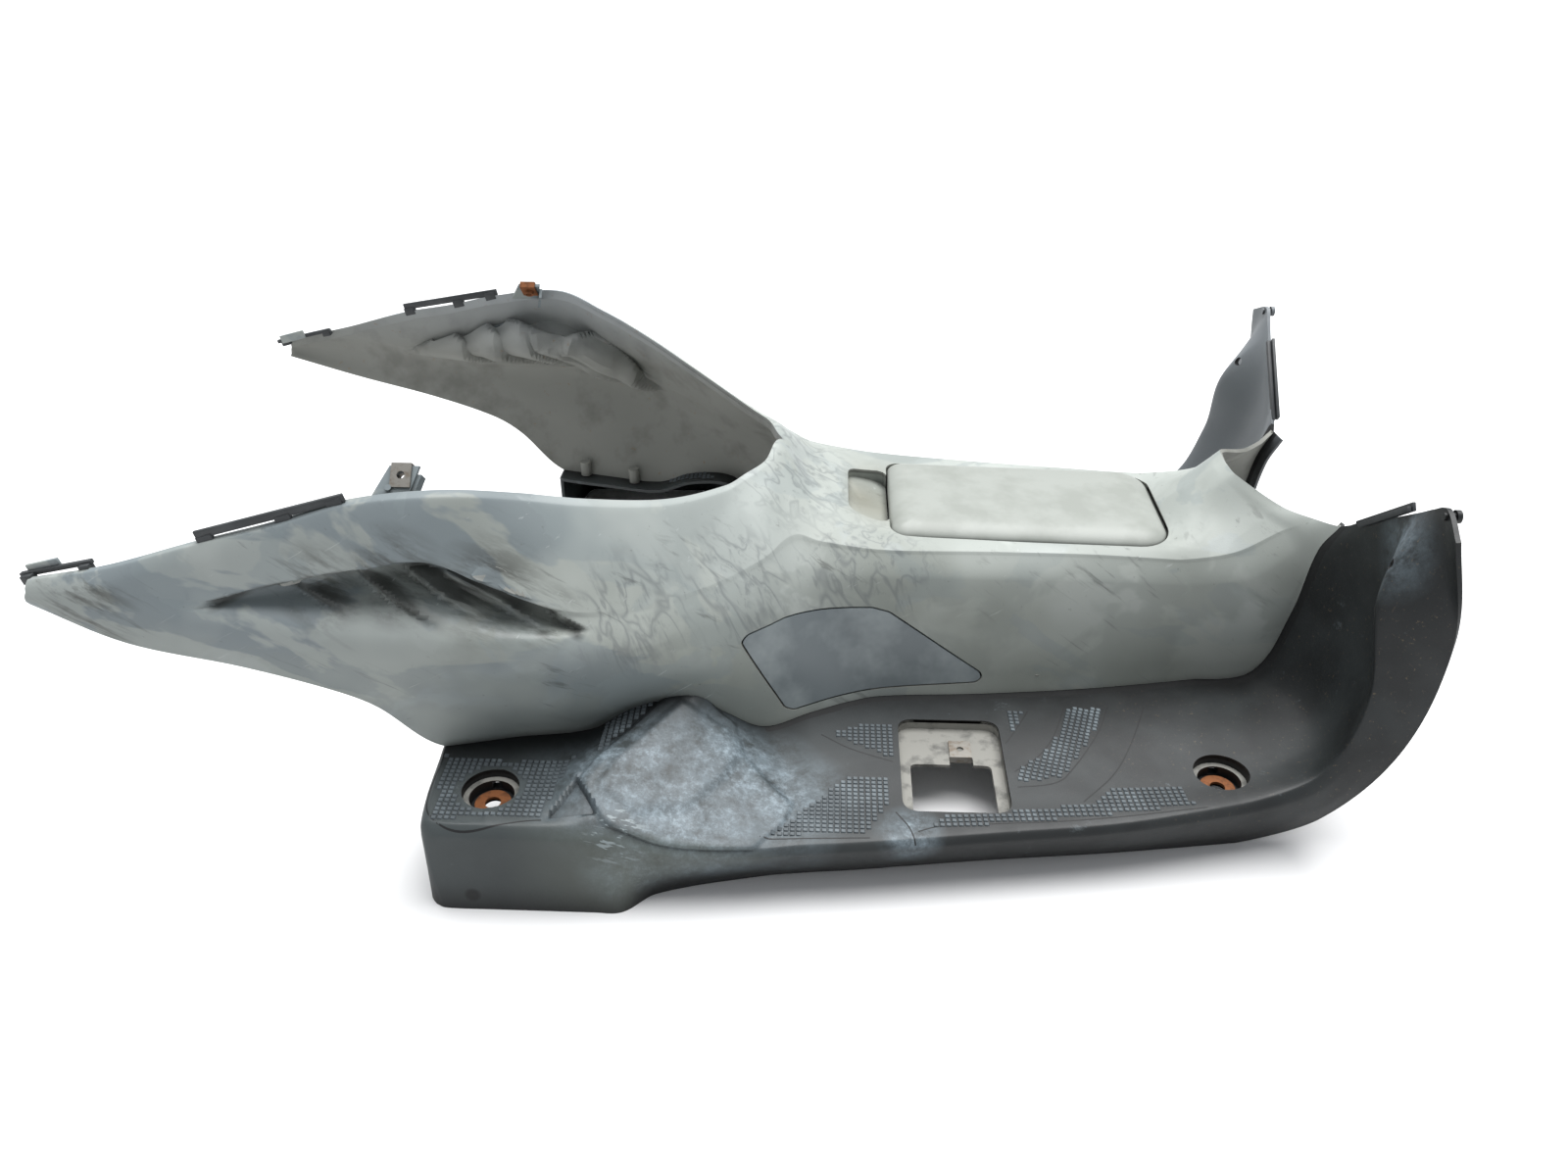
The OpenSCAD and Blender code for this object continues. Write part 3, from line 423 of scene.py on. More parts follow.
bus = steps([0, 0.9, 1, 1.1, 1.3, 1.6], np.arange(2, 18.001, 1 / 22))
bvs = steps([0, 0.5, 0.9], np.arange(1, 3, 0.04), np.arange(3, 9.001, 0.1))
bvs = bvs[bvs <= 7]
b_out = loft(board_rows, bus, bvs, board_u_ease, board_ease)
b_out[..., 2] = np.maximum(b_out[..., 2], 0)
# The board's top stays under the level foot of the cover, 0.4 mm below it
block_top = (bus > 2) & (bus < 3)
b_out[block_top, :, 2] = np.minimum(b_out[block_top, :, 2], FOOT_Z - SEAM_GAP)
bn = normals(b_out)
b_in = b_out - BOARD_WALL * bn
b_in[0] = b_out[0] + [BOARD_WALL, 0, 0]
low = b_out[:, -1, 2] < 1e-3
b_in[low, -1] = b_out[low, -1] - [0, BOARD_WALL, 0]
b_in[..., 2] = np.maximum(b_in[..., 2], 0)
top = (bvs >= 1.0) & (bvs <= 4.2)
P = b_out[:, top][..., :2] - [DATUM, 0]
lift = np.zeros(P.shape[:2])
for plan, h, w in RELIEF:
    sd = signed(P.reshape(-1, 2), plan).reshape(P.shape[:2])
    lift += h * np.clip(sd / w, 0, 1) ** 2 * (3 - 2 * np.clip(sd / w, 0, 1))
up = bn[:, top][..., 2:3].clip(0, 1)
b_out[:, top] += lift[..., None] * bn[:, top] * up


# ---- materials
def lin(hexa):
    """Linear colour of an sRGB hex value."""
    c = [int(hexa[i:i + 2], 16) / 255 for i in (1, 3, 5)]
    return [x / 12.92 if x <= 0.04045 else ((x + 0.055) / 1.055) ** 2.4 for x in c] + [1]


class Mat:
    """A node material; the pattern sizes are in mm on the object's own coordinates."""

    def __init__(self, name, hexa, rough, **sockets):
        self.m = bpy.data.materials.new(name)
        self.m.use_nodes = True
        self.t = self.m.node_tree
        self.shader = self.t.nodes["Principled BSDF"]
        self.shader.inputs["Base Color"].default_value = lin(hexa)
        self.shader.inputs["Roughness"].default_value = rough
        for k, v in sockets.items():
            self.shader.inputs[k].default_value = v
        self.co = self.add("TexCoord").outputs["Object"]
        self.col = None

    def add(self, kind, settings={}, **links):
        n = self.t.nodes.new("ShaderNode" + kind)
        for k, v in settings.items():
            setattr(n, k, v)
        for k, v in links.items():
            s = n.inputs[int(k[1:])] if k[0] == "i" and k[1:].isdigit() else n.inputs[k.replace("_", " ")]
            if hasattr(v, "is_output"):
                self.t.links.new(v, s)
            else:
                s.default_value = v
        return n

    def noise(self, mm, detail=3, rough=0.55, size=(1, 1, 1), seed=0.0, turn=0.0, bend=0.0):
        """Noise with features of so many mm, longer along an axis by size and turned about Y."""
        m = self.add("Mapping", dict(vector_type="TEXTURE"), Vector=self.co,
                     Scale=[mm / 1000 * k for k in size], Rotation=(0, turn, 0), Location=(seed,) * 3)
        return self.add("TexNoise", Vector=m.outputs[0], Scale=1.0, Detail=detail, Roughness=rough,
                        Distortion=bend).outputs[0]

    def axis(self, k, a, b):
        """0 at a and 1 at b, in mm along the axis."""
        return self.band(self.add("SeparateXYZ", i0=self.co).outputs[k], a / 1000, b / 1000)

    def band(self, value, a, b):
        """0 below a and 1 above b."""
        return self.add("MapRange", dict(clamp=True), i0=value, i1=a, i2=b, i3=0.0, i4=1.0).outputs[0]

    def math(self, op, a, b=0.0):
        return self.add("Math", dict(operation=op), i0=a, i1=b).outputs[0]

    def times(self, a, b):
        return self.math("MULTIPLY", a, b)

    def tint(self, hexa, mask, strength=1.0):
        """Lays a colour over what is there, as far as the mask says."""
        base = self.col or self.shader.inputs["Base Color"].default_value[:]
        f = self.times(mask, strength)
        n = self.add("Mix", dict(data_type="RGBA"))
        self.t.links.new(f, n.inputs[0])
        if self.col is None:
            n.inputs[6].default_value = base
        else:
            self.t.links.new(base, n.inputs[6])
        n.inputs[7].default_value = lin(hexa)
        self.col = n.outputs[2]
        self.t.links.new(self.col, self.shader.inputs["Base Color"])

    def near(self, x, y, z, r):
        """1 at a point of the object, given in mm, and 0 at the radius."""
        d = self.add("VectorMath", dict(operation="DISTANCE"), i0=self.co, i1=(x / 1000, y / 1000, z / 1000))
        return self.band(d.outputs["Value"], r / 1000, 0.0)

    def line(self, a, b, low, high):
        """Band from low to high mm above the line from a to b, both (x, z) in mm, fading at its ends."""
        e = np.array([b[0] - a[0], b[1] - a[1]], float)
        n = math.hypot(*e)
        e /= n
        start = (a[0] / 1000, 0, a[1] / 1000)
        rel = self.add("VectorMath", dict(operation="SUBTRACT"), i0=self.co, i1=start).outputs[0]
        dot = dict(operation="DOT_PRODUCT")
        off = self.add("VectorMath", dot, i0=rel, i1=(-e[1], 0, e[0])).outputs["Value"]
        way = self.add("VectorMath", dot, i0=rel, i1=(e[0], 0, e[1])).outputs["Value"]
        across = self.times(self.band(off, low / 1000, 0.7 * low / 1000 + 0.3 * high / 1000),
                            self.band(off, high / 1000, 0.8 * high / 1000 + 0.2 * low / 1000))
        ends = self.times(self.band(way, 0, n / 4000), self.band(way, n / 1000, n / 1400))
        return self.times(across, ends)

    def corner(self, mm, open_, shut):
        """1 in the corners and hollows narrower than so many mm."""
        ao = self.add("AmbientOcclusion", dict(samples=6), Distance=mm / 1000).outputs["AO"]
        return self.band(ao, open_, shut)

    def rough(self, mask, a, b):
        r = self.add("MapRange", i0=mask, i1=0.0, i2=1.0, i3=a, i4=b).outputs[0]
        self.t.links.new(r, self.shader.inputs["Roughness"])

    def spots(self, places):
        """The strongest of several near() masks; each place is x from the datum, y, z and radius."""
        best = None
        for x, y, z, r in places:
            b = self.near(x + DATUM, y, z, r)
            best = b if best is None else self.math("MAXIMUM", best, b)
        return best

    def bump(self, height, mm, strength=1.0):
        n = self.add("Bump", Height=height, Distance=mm / 1000, Strength=strength)
        self.t.links.new(n.outputs[0], self.shader.inputs["Normal"])


def cover_plastic():
    # Grey moulded ABS with a dull, handled skin: wiped patches, rubbed dark strokes, painted shade in the
    # hollows and under the scoop's edge and fins, and a painted highlight on the tunnel's top
    m = Mat("weathered grey ABS", "#a8ada8", 0.48)
    film = m.band(m.noise(190, 4, 0.6, seed=11.0), 0.42, 0.62)
    m.tint("#858980", film, 0.6)
    wing_side = m.band(m.noise(95, 5, 0.55, (1.6, 1, 0.7), 3.1, 0.35, 0.4), 0.49, 0.515)
    m.tint("#6d7980", m.times(wing_side, m.axis(0, 60, -120)), 0.72)
    m.tint("#7d868a", m.axis(0, -60, -200), 0.35)
    wipe = m.band(m.noise(60, 4, 0.5, (1.4, 1, 0.8), 7.0, 0.4, 0.6), 0.55, 0.57)
    m.tint("#869092", wipe, 0.42)
    pale = m.band(m.noise(110, 3, 0.5, seed=8.0), 0.52, 0.7)
    m.tint("#c0c5c0", pale, 0.5)
    # Painted highlight: the tunnel's top made paler towards the top and the front, from z 130 mm and x -150
    # mm
    m.tint("#c4cbc6", m.times(m.axis(2, 130, 175), m.axis(0, -150, -40)), 0.3)
    smear = m.band(m.noise(70, 4, 0.6, (1.3, 1, 1), 15.0, -0.3, 0.4), 0.48, 0.53)
    m.tint("#858b86", m.times(smear, m.axis(2, 190, 130)), 0.4)
    m.tint("#757a74", m.times(m.axis(2, 115, 62), m.axis(0, -190, -90)), 0.3)
    stroke = m.band(m.noise(9, 4, 0.65, (9, 2, 0.75), 1.7, 0.62, 0.35), 0.58, 0.68)
    patch = m.band(m.noise(75, 2, 0.5, seed=20.0), 0.47, 0.62)
    m.tint("#4a4c4a", m.times(stroke, patch), 0.55)
    scribble = m.spots([(-45, 0, 185, 105), (30, -95, 140, 70), (-120, -190, 165, 60), (-60, -130, 150, 60)])
    swirl = m.noise(20, 2, 0.5, (0.8, 1, 3.4), 5.0, -0.4, 0.5)
    drag = m.band(m.noise(7, 3, 0.6, (0.8, 1, 7), 9.0, -0.25, 0.3), 0.54, 0.68)
    line = m.math("SUBTRACT", 1.0, m.band(m.math("ABSOLUTE", m.math("SUBTRACT", swirl, 0.5)), 0.004, 0.05))
    m.tint("#62676a", m.times(m.math("MAXIMUM", line, drag), m.band(scribble, 0.1, 0.5)), 0.45)
    # Dark streaky patches just under the scoop's upper edge and on the wing near its tail
    dark_patches = m.spots([(-270, -205, 203, 40), (-215, -205, 192, 42), (-320, -212, 197, 34),
                    (-180, -205, 172, 26), (-470, -224, 186, 40)])
    streaks = m.band(m.noise(14, 5, 0.7, (5, 1, 0.8), 2.0, 0.5), 0.44, 0.6)
    m.tint("#35352f", m.times(m.band(dark_patches, 0.0, 0.6), streaks), 0.7)
    shade = None
    for a, b in list(zip(SCOOP_TOP[1:-1], SCOOP_TOP[2:])) + FINS:
        b = m.line((a[0] + DATUM, a[1] + 1), (b[0] + DATUM, b[1] + 1), -9.0, 0.5)
        shade = b if shade is None else m.math("MAXIMUM", shade, b)
    m.tint("#383a37", m.times(shade, m.axis(1, -120, -150)), 0.8)
    m.tint("#7f7d6e", m.times(m.near(DATUM + 32, 0, 158, 62), m.axis(2, 166, 158)), 0.9)
    m.tint("#55554d", m.band(m.noise(4, 3, 0.6), 0.68, 0.78), 0.4)
    # Painted shade: darker in the corners and hollows narrower than 9 mm, found by ambient occlusion
    m.tint("#3b3c37", m.corner(9, 0.85, 0.4), 0.6)
    m.tint("#cfd3d3", m.band(m.noise(3, 3, 0.6, (26, 3, 1), 6.0, -0.5), 0.69, 0.75), 0.35)
    m.rough(wipe, 0.55, 0.38)
    m.bump(m.noise(1.1, 2), 0.08, 0.6)
    return m.m


def inner_plastic():
    # The unpainted back of the moulding: warmer, flat and dusty
    m = Mat("dusty back of the ABS", "#8f908a", 0.75)
    m.tint("#62625c", m.band(m.noise(40, 4, 0.6), 0.5, 0.7), 0.5)
    m.tint("#b3b9bd", m.axis(2, 190, 250), 0.65)
    m.tint("#8a6a48", m.band(m.noise(7, 4, 0.7, seed=2.0), 0.64, 0.74), 0.45)
    m.bump(m.noise(1.5, 2), 0.1, 0.6)
    return m.m


def floor_plastic():
    # Black PP of the floorboards: scuffed pale blue where shoes rub, dust at the rear and on the toe boards
    m = Mat("scuffed black PP", "#1b1e1f", 0.46)
    m.tint("#4c5354", m.axis(0, 150, -160), 0.7)
    m.tint("#363b3c", m.band(m.noise(70, 3), 0.45, 0.65), 0.5)
    m.tint("#6a7073", m.times(m.axis(2, 175, 215), m.axis(1, -100, 120)), 0.8)
    rub = m.spots([(-128, -235, 74, 80), (-85, -265, 60, 70), (-60, -215, 60, 70), (-118, -290, 35, 42),
                   (378, -160, 205, 42), (-30, -236, 50, 62), (60, -262, 46, 26)])
    grain = m.band(m.noise(30, 7, 0.78, seed=4.0), 0.36, 0.64)
    m.tint("#74828a", m.times(m.band(rub, 0.0, 0.6), grain), 0.75)
    fine = m.band(m.noise(5, 5, 0.75, (1, 1, 1), 14.0), 0.46, 0.6)
    m.tint("#b3c3cd", m.times(m.times(m.band(rub, 0.25, 0.8), fine), grain), 0.4)
    m.tint("#8f9ba1", m.band(m.noise(16, 6, 0.8, (1, 1, 1), 9.0), 0.63, 0.72), 0.2)
    soil = m.band(m.noise(3, 4, 0.7, seed=6.0), 0.62, 0.72)
    m.tint("#7a6a52", m.times(soil, m.axis(0, 230, 330)), 0.5)
    m.tint("#696f66", m.times(m.axis(1, -281, -292), m.axis(0, -140, -60)), 0.65)
    m.tint("#8d9296", m.times(m.axis(1, 60, 90), m.axis(0, 280, 340)), 0.75)
    m.tint("#101112", m.band(m.near(DATUM - 226, -297, 12, 9), 0.3, 0.6), 0.85)
    wrinkle = m.band(m.noise(3, 3, 0.6, (4, 1, 1), 3.0, 0.3), 0.58, 0.64)
    m.tint("#9aa5a8", m.times(wrinkle, m.band(m.near(DATUM - 130, -282, 55, 30), 0.2, 0.6)), 0.7)
    # Painted shade: near black in the corners and hollows narrower than 34 mm, found by ambient occlusion
    m.tint("#08090a", m.corner(34, 0.9, 0.58), 0.92)
    m.rough(m.noise(20, 3), 0.38, 0.6)
    m.bump(m.noise(1.2, 2), 0.12, 0.7)
    return m.m


def plain(name, hexa, rough, patch, mm=30, **sockets):
    m = Mat(name, hexa, rough, **sockets)
    m.tint(patch, m.band(m.noise(mm, 4, 0.6), 0.48, 0.66), 0.6)
    m.bump(m.noise(1.2, 2), 0.08, 0.6)
    return m.m


GREY, BACK, BLACK = cover_plastic(), inner_plastic(), floor_plastic()
# Tops of the tread, polished a little and grey with dust
TREAD = plain("dusty tread", "#4d5458", 0.5, "#7b858a", 30)
# Gap lines and the shadow inside the recesses
DARK = plain("black PP in the shade", "#141516", 0.6, "#1d1e1f")
# Satin lid plastic, paler and cleaner than the cover
LID = plain("pale satin ABS", "#a0a49e", 0.42, "#8c9089", 45)
# Satin dark grey access cover, brushed with fine scratches
HATCH = plain("dark satin ABS", "#757d80", 0.24, "#a0a8a9", 60)
# Near-black tongues on the wing edges
TONGUE = plain("bare dark ABS", "#35383a", 0.5, "#4a4d4f")
# Zinc-plated steel gone to brown rust
RUST = plain("rusted steel", "#8a5632", 0.8, "#4a2d1c", 5, Metallic=0.25)
# Whitish dirty sides of the square opening
SILT = plain("silt on black PP", "#8c8b85", 0.7, "#2a2b2b", 14)

# ---- tunnel cover: cuts
LID_X0, LID_L, LID_HW = 51.0, 211.0, 59.0


def circle(x, y, r, n=40):
    return [(x + r * math.cos(t), y + r * math.sin(t)) for t in np.linspace(0, 2 * math.pi, n + 1)[:-1]]


def arc(x, y, r, a, n=10):
    return [(x + r * math.cos(b), y + r * math.sin(b)) for b in np.radians(np.linspace(a, a + 90, n))]


def box_plan(x0, x1, y0, y1):
    return [(x0, y0), (x1, y0), (x1, y1), (x0, y1)]


def plan(d, n=10):
    """Outline of the lid, grown by d."""
    x0, x1, w = DATUM + LID_X0 - d, DATUM + LID_X0 + LID_L + d, LID_HW + d
    r0, r1 = max(12 + d, 1), max(24 + d, 1)
    return (arc(x1 - r1, r1 - w, r1, -90, n) + arc(x1 - r1, w - r1, r1, 0, n)
            + arc(x0 + r0, w - r0, r0, 90, n) + arc(x0 + r0, r0 - w, r0, 180, n))


def level(x):
    """Height of the cover's top beside the lid."""
    return 154.5 - 5 * (x - DATUM - LID_X0) / LID_L


def stack(rings, name="tool", mats=(), smooth=35):
    """Closed solid through rings of equally many points."""
    n, m = len(rings[0]), len(rings)
    v = [p for r in rings for p in r]
    f = [list(range(n))[::-1], list(range((m - 1) * n, m * n))]
    f += [[i * n + k, i * n + (k + 1) % n, (i + 1) * n + (k + 1) % n, (i + 1) * n + k]
          for i in range(m - 1) for k in range(n)]
    return new_object(name, v, f, mats, smooth)


def ring(d, h, n=10):
    return [(x, y, level(x) + h) for x, y in plan(d, n)]


def scoop(d):
    """Finger scoop behind the lid, grown by d."""
    x0, x1 = DATUM + 18 - d, DATUM + LID_X0 - 0.3
    a, b = 34 + d, 46 + d
    rim = rounded([(x0, -a), (x1, -b), (x1, b), (x0, a)], 13)
    floor = [156 - d - 13 * (x - x0) / (x1 - x0) for x, y in rim]
    low = [(x, y * (1 - 2 * d / b), h) for (x, y), h in zip(rim, floor)]
    wide = [(x, y, h + 4) for (x, y), h in zip(rim, floor)]
    return stack([low, wide, [(x, y, 190) for x, y in rim]])


POCKET_Z = 128.5         # floor of the lid's pocket
top_u = np.arange(13, 18.6, 0.125)
top_line = cover_grid(top_u, np.array([0.0]))[:, 0]
HATCH_PLAN = [(-58, 117), (-54, 121), (-28, 122), (-10, 120), (37, 116.5), (50, 112.5),
              (121, 64), (122.5, 59), (118, 55), (38, 51.5), (-20, 51.5), (-27, 56)]
hatch_plan = rounded([(x + DATUM, z) for x, z in HATCH_PLAN][::-1], 7)

cover = shell("tunnel_cover_skin", outer, inner, (GREY, BACK), centre, smooth=28)


def under_top(z0):
    pts = [(top_line[0][0], z0), (top_line[-1][0], z0)] + [(p[0], p[2] - 1.5) for p in top_line[::-1]]
    return prism(pts, -90, 90, "y")


cut(cover, [prism(plan(1.3), POCKET_Z, 190), scoop(0), prism(hatch_plan, 40, 200, "y")], smooth=28)
tray = prism(plan(3.8), POCKET_Z - 3, 190)
cut(tray, [scoop(2.5)], "UNION")
cut(tray, [under_top(POCKET_Z - 3)], "INTERSECT")
cut(tray, [prism(plan(1.3), POCKET_Z, 200), scoop(0), prism(circle(DATUM + 150, 0, 35, 48), 110, 140)])
tray.name = "lid_pocket"
paint(tray, GREY)


def flank(d0, d1):
    u = us[(us >= 9) & (us <= 16)]
    g = cover_grid(u, vs[(vs >= 2.5) & (vs <= 6.9)])
    n = normals(g)
    o = shell("side_cover", g - d0 * n, g - d1 * n, (), smooth=30)
    o.data.transform(Matrix.Diagonal((1, -1, 1, 1)))
    o.data.flip_normals()
    return o


side = flank(0, 2.3)
cut(side, [prism(inset(hatch_plan, 1.3), 40, 200, "y")], "INTERSECT", 30)
PRISE_SLOT = [(-52, 79.5), (-46.5, 77.5), (-43, 89), (-48.5, 91)]
cut(side, [prism([(x + DATUM, z) for x, z in PRISE_SLOT], 100, 190, "y")], smooth=30)
side.name = "side_cover"
paint(side, HATCH)


def grid_tree(*grids):
    """Search tree of one or more grids of points, given in mm, in metres."""
    v = np.concatenate([g.reshape(-1, 3) for g in grids]) / 1000
    f, base = [], 0
    for g in grids:
        f.append(quads(np.arange(g[..., 0].size).reshape(g.shape[:2])) + base)
        base += g[..., 0].size
    return BVHTree.FromPolygons([tuple(p) for p in v], [tuple(int(k) for k in q) for q in np.concatenate(f)])


def on_flank(points, d):
    """The plan's points in x and z, put on the right flank and moved in by d."""
    tree = grid_tree(outer * [1, -1, 1])
    out = []
    for x, z in points:
        hit = tree.ray_cast(Vector((x / 1000, -0.4, z / 1000)), Vector((0, 1, 0)))
        out.append((x, hit[0].y * 1000 + d, z))
    return out


wide, tight = inset(hatch_plan, -4), inset(hatch_plan, 4)
loops = [on_flank(wide, 3.2), on_flank(tight, 3.2), on_flank(tight, 5.6), on_flank(wide, 5.6)]
m = len(wide)
band = [(i * m + k, i * m + (k + 1) % m, (i + 1) % 4 * m + (k + 1) % m, (i + 1) % 4 * m + k)
        for i in range(4) for k in range(m)]
ledge = new_object("side_cover_ledge", [p for q in loops for p in q], band)
ledge.name = "side_cover_ledge"
paint(ledge, DARK)

# ---- lid
# Rings of the domed top and of the space under it, each grown by the first number at a height
LID_OUTSIDE = [(0, -13), (0, -1.6), (-0.5, -0.5), (-1.6, 0.7), (-3.6, 2.2), (-6.2, 3.6),
               (-9.5, 4.7), (-13, 5.4), (-19, 5.9), (-30, 6.2)]
LID_INSIDE = [(-2.5, -14), (-2.5, -1.2), (-10, 2.5), (-31, 3.7)]
lid = stack([ring(d, h, 14) for d, h in LID_OUTSIDE], "filler_lid_shell", (LID,), 50)
cut(lid, [stack([ring(d, h, 14) for d, h in LID_INSIDE])], smooth=50)

# ---- small parts of the cover
def plank(name, p, q, w, h, mat, bevel=0.5):
    """Bar from p to q (table points) with its width level."""
    p, q = at(p), at(q)
    d = q - p
    ln = np.linalg.norm(d)
    v = [(x, y, z) for x in (0, ln) for y in (-w / 2, w / 2) for z in (0, h)]
    f = [(0, 1, 3, 2), (4, 6, 7, 5), (0, 4, 5, 1), (2, 3, 7, 6), (0, 2, 6, 4), (1, 5, 7, 3)]
    o = new_object(name, v, f, (mat,))
    m = (Matrix.Translation(Vector(p / 1000)) @ Matrix.Rotation(math.atan2(d[1], d[0]), 4, "Z")
         @ Matrix.Rotation(-math.atan2(d[2], math.hypot(d[0], d[1])), 4, "Y"))
    o.data.transform(m)
    if bevel:
        b = o.modifiers.new("bevel", "BEVEL")
        b.width, b.segments = bevel / 1000, 2
        bake(o)
    return o


def join(name, objs):
    bpy.ops.object.select_all(action="DESELECT")
    for o in objs:
        o.select_set(True)
    bpy.context.view_layer.objects.active = objs[0]
    bpy.ops.object.join()
    objs[0].name = objs[0].data.name = name
    return objs[0]


def wing_bits():
    o = [plank("t", [-392, 210, 228.3], [-299, 194.5, 248.8], 2.6, 5.6, TONGUE)]
    for q in ([-391, 209.5, 223], [-342, 201.5, 234], [-310, 196, 243]):
        q = np.array(q, float)
        o.append(plank("t", q, q + [10, -1.2, 2.6], 4, 6.8, TONGUE))
    o.append(plank("t", [-517, 206.5, 195.3], [-466, 207.5, 207.2], 3.6, 3.2, TONGUE))
    o.append(plank("t", [-514, 209, 192], [-506, 210, 194], 6, 6, TONGUE))
    o.append(plank("t", [-473, 209.5, 202], [-466, 209.5, 203.5], 6.5, 5.2, TONGUE))
    o.append(plank("t", [-512, 204.5, 196], [-489, 205, 202], 2.4, 7.4, GREY))
    return o


def tab_matrix():
    """Frame of the left shoulder tab, as in the solid model."""
    x, y, z = at([-286, 192, 246.5]) / 1000
    a = math.radians(45)
    return (Matrix.Translation((x, y, z)) @ Matrix.Rotation(math.pi, 4, "Z")
            @ Matrix.Diagonal((-1, 1, 1, 1)) @ Matrix.Rotation(a, 4, "X"))


def tab_bits():
    def plate(pts, z0, z1):
        o = prism(pts, z0, z1)
        paint(o, GREY)
        return o
    a = plate([(0, -1), (24, -1), (31, 24), (12, 24)], 0, 2.5)
    cut(a, [prism(circle(20, 16, 3.5, 24), -2, 5)])
    b = plate([(24, -1), (26.4, -1), (32, 19), (29.6, 19)], -8, 0.4)
    c = plate(circle(13, 9, 2, 16), 2, 4.6)
    for o in (a, b, c):
        o.data.transform(tab_matrix())
        finish_mesh(o)
    return [a, b, c]


def cylinder(name, p, r, h, mat, axis="z", n=32):
    o = prism(circle(0, 0, r, n), 0, h)
    if axis == "x":
        o.data.transform(Matrix.Rotation(math.pi / 2, 4, "Y"))
    if axis == "y":
        o.data.transform(Matrix.Rotation(-math.pi / 2, 4, "X"))
    o.data.transform(Matrix.Translation(Vector(np.asarray(p, float) / 1000)))
    o.name = name
    paint(o, mat)
    return o


left = join("left_wing_tongues", wing_bits())
left_tab = join("left_shoulder_tab", tab_bits())
right, right_tab = mirror(left, "right_wing_tongues"), mirror(left_tab, "right_shoulder_tab")

# Bosses for the seam screws, and the locating bosses seen on the inner side of the wing
SCREW_ROWS = np.array([2.5, 3.5, 12.5, 13.5])
seam_line = loft(board_rows, SCREW_ROWS, np.array([1.0]), board_u_ease, board_ease)[:, 0]
bosses = []
for k, p in enumerate(seam_line):
    y = p[1] - (5.8 if k < 2 else 7.5)
    for s in (-1, 1):
        bosses.append(cylinder("b", (p[0], s * y, p[2] + 0.3), 5, 14, BACK))
bosses = join("seam_bosses", bosses)

# Hinge axis, with the lugs and the rest pads in the pocket
AX, AZ = DATUM + LID_X0 + LID_L - 16, 149.0
lugs = []
for s in (-1, 1):
    y = s * 22.5
    lugs.append(cylinder("l", (AX, y - 2, AZ), 3.3, 4, GREY, "y"))
    v = prism(box_plan(AX - 3.3, AX + 0.5, y - 2, y + 2), POCKET_Z - 1, AZ)
    paint(v, GREY)
    lugs.append(v)
    y = s * 34
    v = prism(box_plan(DATUM + 51, DATUM + 59, y - 4, y + 4), POCKET_Z - 1, level(DATUM + 59) - 13.3)
    paint(v, GREY)
    lugs.append(v)
lugs = join("pocket_lugs", lugs)

# Knuckles under the lid
knuckles = []
for s in (-1, 1):
    y = s * 14
    knuckles.append(cylinder("k", (AX, y - 6, AZ), 4, 12, LID, "y"))
    v = prism(box_plan(AX - 4, AX + 4, y - 6, y + 6), AZ, AZ + 4.8)
    paint(v, LID)
    knuckles.append(v)
knuckles = join("lid_knuckles", knuckles)
slots = []
for s in (-1, 1):
    y = s * 22.5
    slots.append(prism(box_plan(AX + 10, AX + 20, y - 2.5, y + 2.5), 130, AZ - 0.8))
cut(lid, slots, smooth=50)

# ---- floorboards: cuts, tread, fittings
CUPS = [(-218, 253, 66), (281, 196, 46)]
WELL = (94, 193.5, 46)


def well_plan(grow):
    x, y, z = WELL
    a, b = 37 + grow, 49 + grow
    return rounded(box_plan(x + DATUM - a, x + DATUM + a, y - b, y + b), 12 + grow, 8)


board = shell("left_floorboard_skin", b_out, b_in, (BLACK, DARK), smooth=32)
tools = [prism(circle(x + DATUM, y, 19), z - 7, z + 12) for x, y, z in CUPS]
tools.append(prism(well_plan(0), WELL[2] - 9, WELL[2] + 12))
tools += [prism(circle(x + DATUM, y, 17), z - 30, z) for x, y, z in CUPS]
hole = cylinder("tool", (DATUM + 338, 172, 205), 3.5, 50, DARK, "x")
cut(board, tools + [hole], smooth=32)
# The gap along the foot of the cover lies in deep shade
foot = b_out[bus >= 2, int(np.argmin(abs(bvs - 1)))]
foot_tree = KDTree(len(foot))
for k, q in enumerate(foot):
    foot_tree.insert(Vector(q / 1000), k)
foot_tree.balance()
for face in board.data.polygons:
    if foot_tree.find(face.center)[2] < 0.0062 and face.center.x > (DATUM - 40) / 1000:
        face.material_index = 1


def cup(x, y, z):
    o = prism(circle(x + DATUM, y, 21.5), z - 17.5, z - 0.9)
    cut(o, [prism(circle(x + DATUM, y, 19), z - 7, z + 5)])
    cut(o, [prism(circle(x + DATUM, y, 15), z - 15, z)])
    cut(o, [prism(circle(x + DATUM, y, 6.5), z - 20, z),
            prism(box_plan(x + DATUM - 3.5, x + DATUM + 3.5, y - 25, y - 12), z - 14, z - 8)])
    paint(o, DARK)
    # a light worn ring on the ledge
    r = prism(circle(x + DATUM, y, 18.9), z - 7, z - 6.8)
    cut(r, [prism(circle(x + DATUM, y, 15.05), z - 8, z - 5)])
    paint(r, SILT)
    return [o, r]


def well():
    x, y, z = WELL
    x += DATUM
    o = prism(well_plan(3), z - 11.5, z - 1)
    cut(o, [prism(well_plan(0), z - 9, z + 5)])
    cut(o, [prism(rounded(box_plan(x - 29, x + 29, y - 9, y + 47), 5), z - 20, z),
            prism(rounded(box_plan(x + 8 - 8.5, x + 8 + 8.5, y - 17.5, y + 2), 2), z - 20, z)])
    paint(o, SILT)
    return [o]


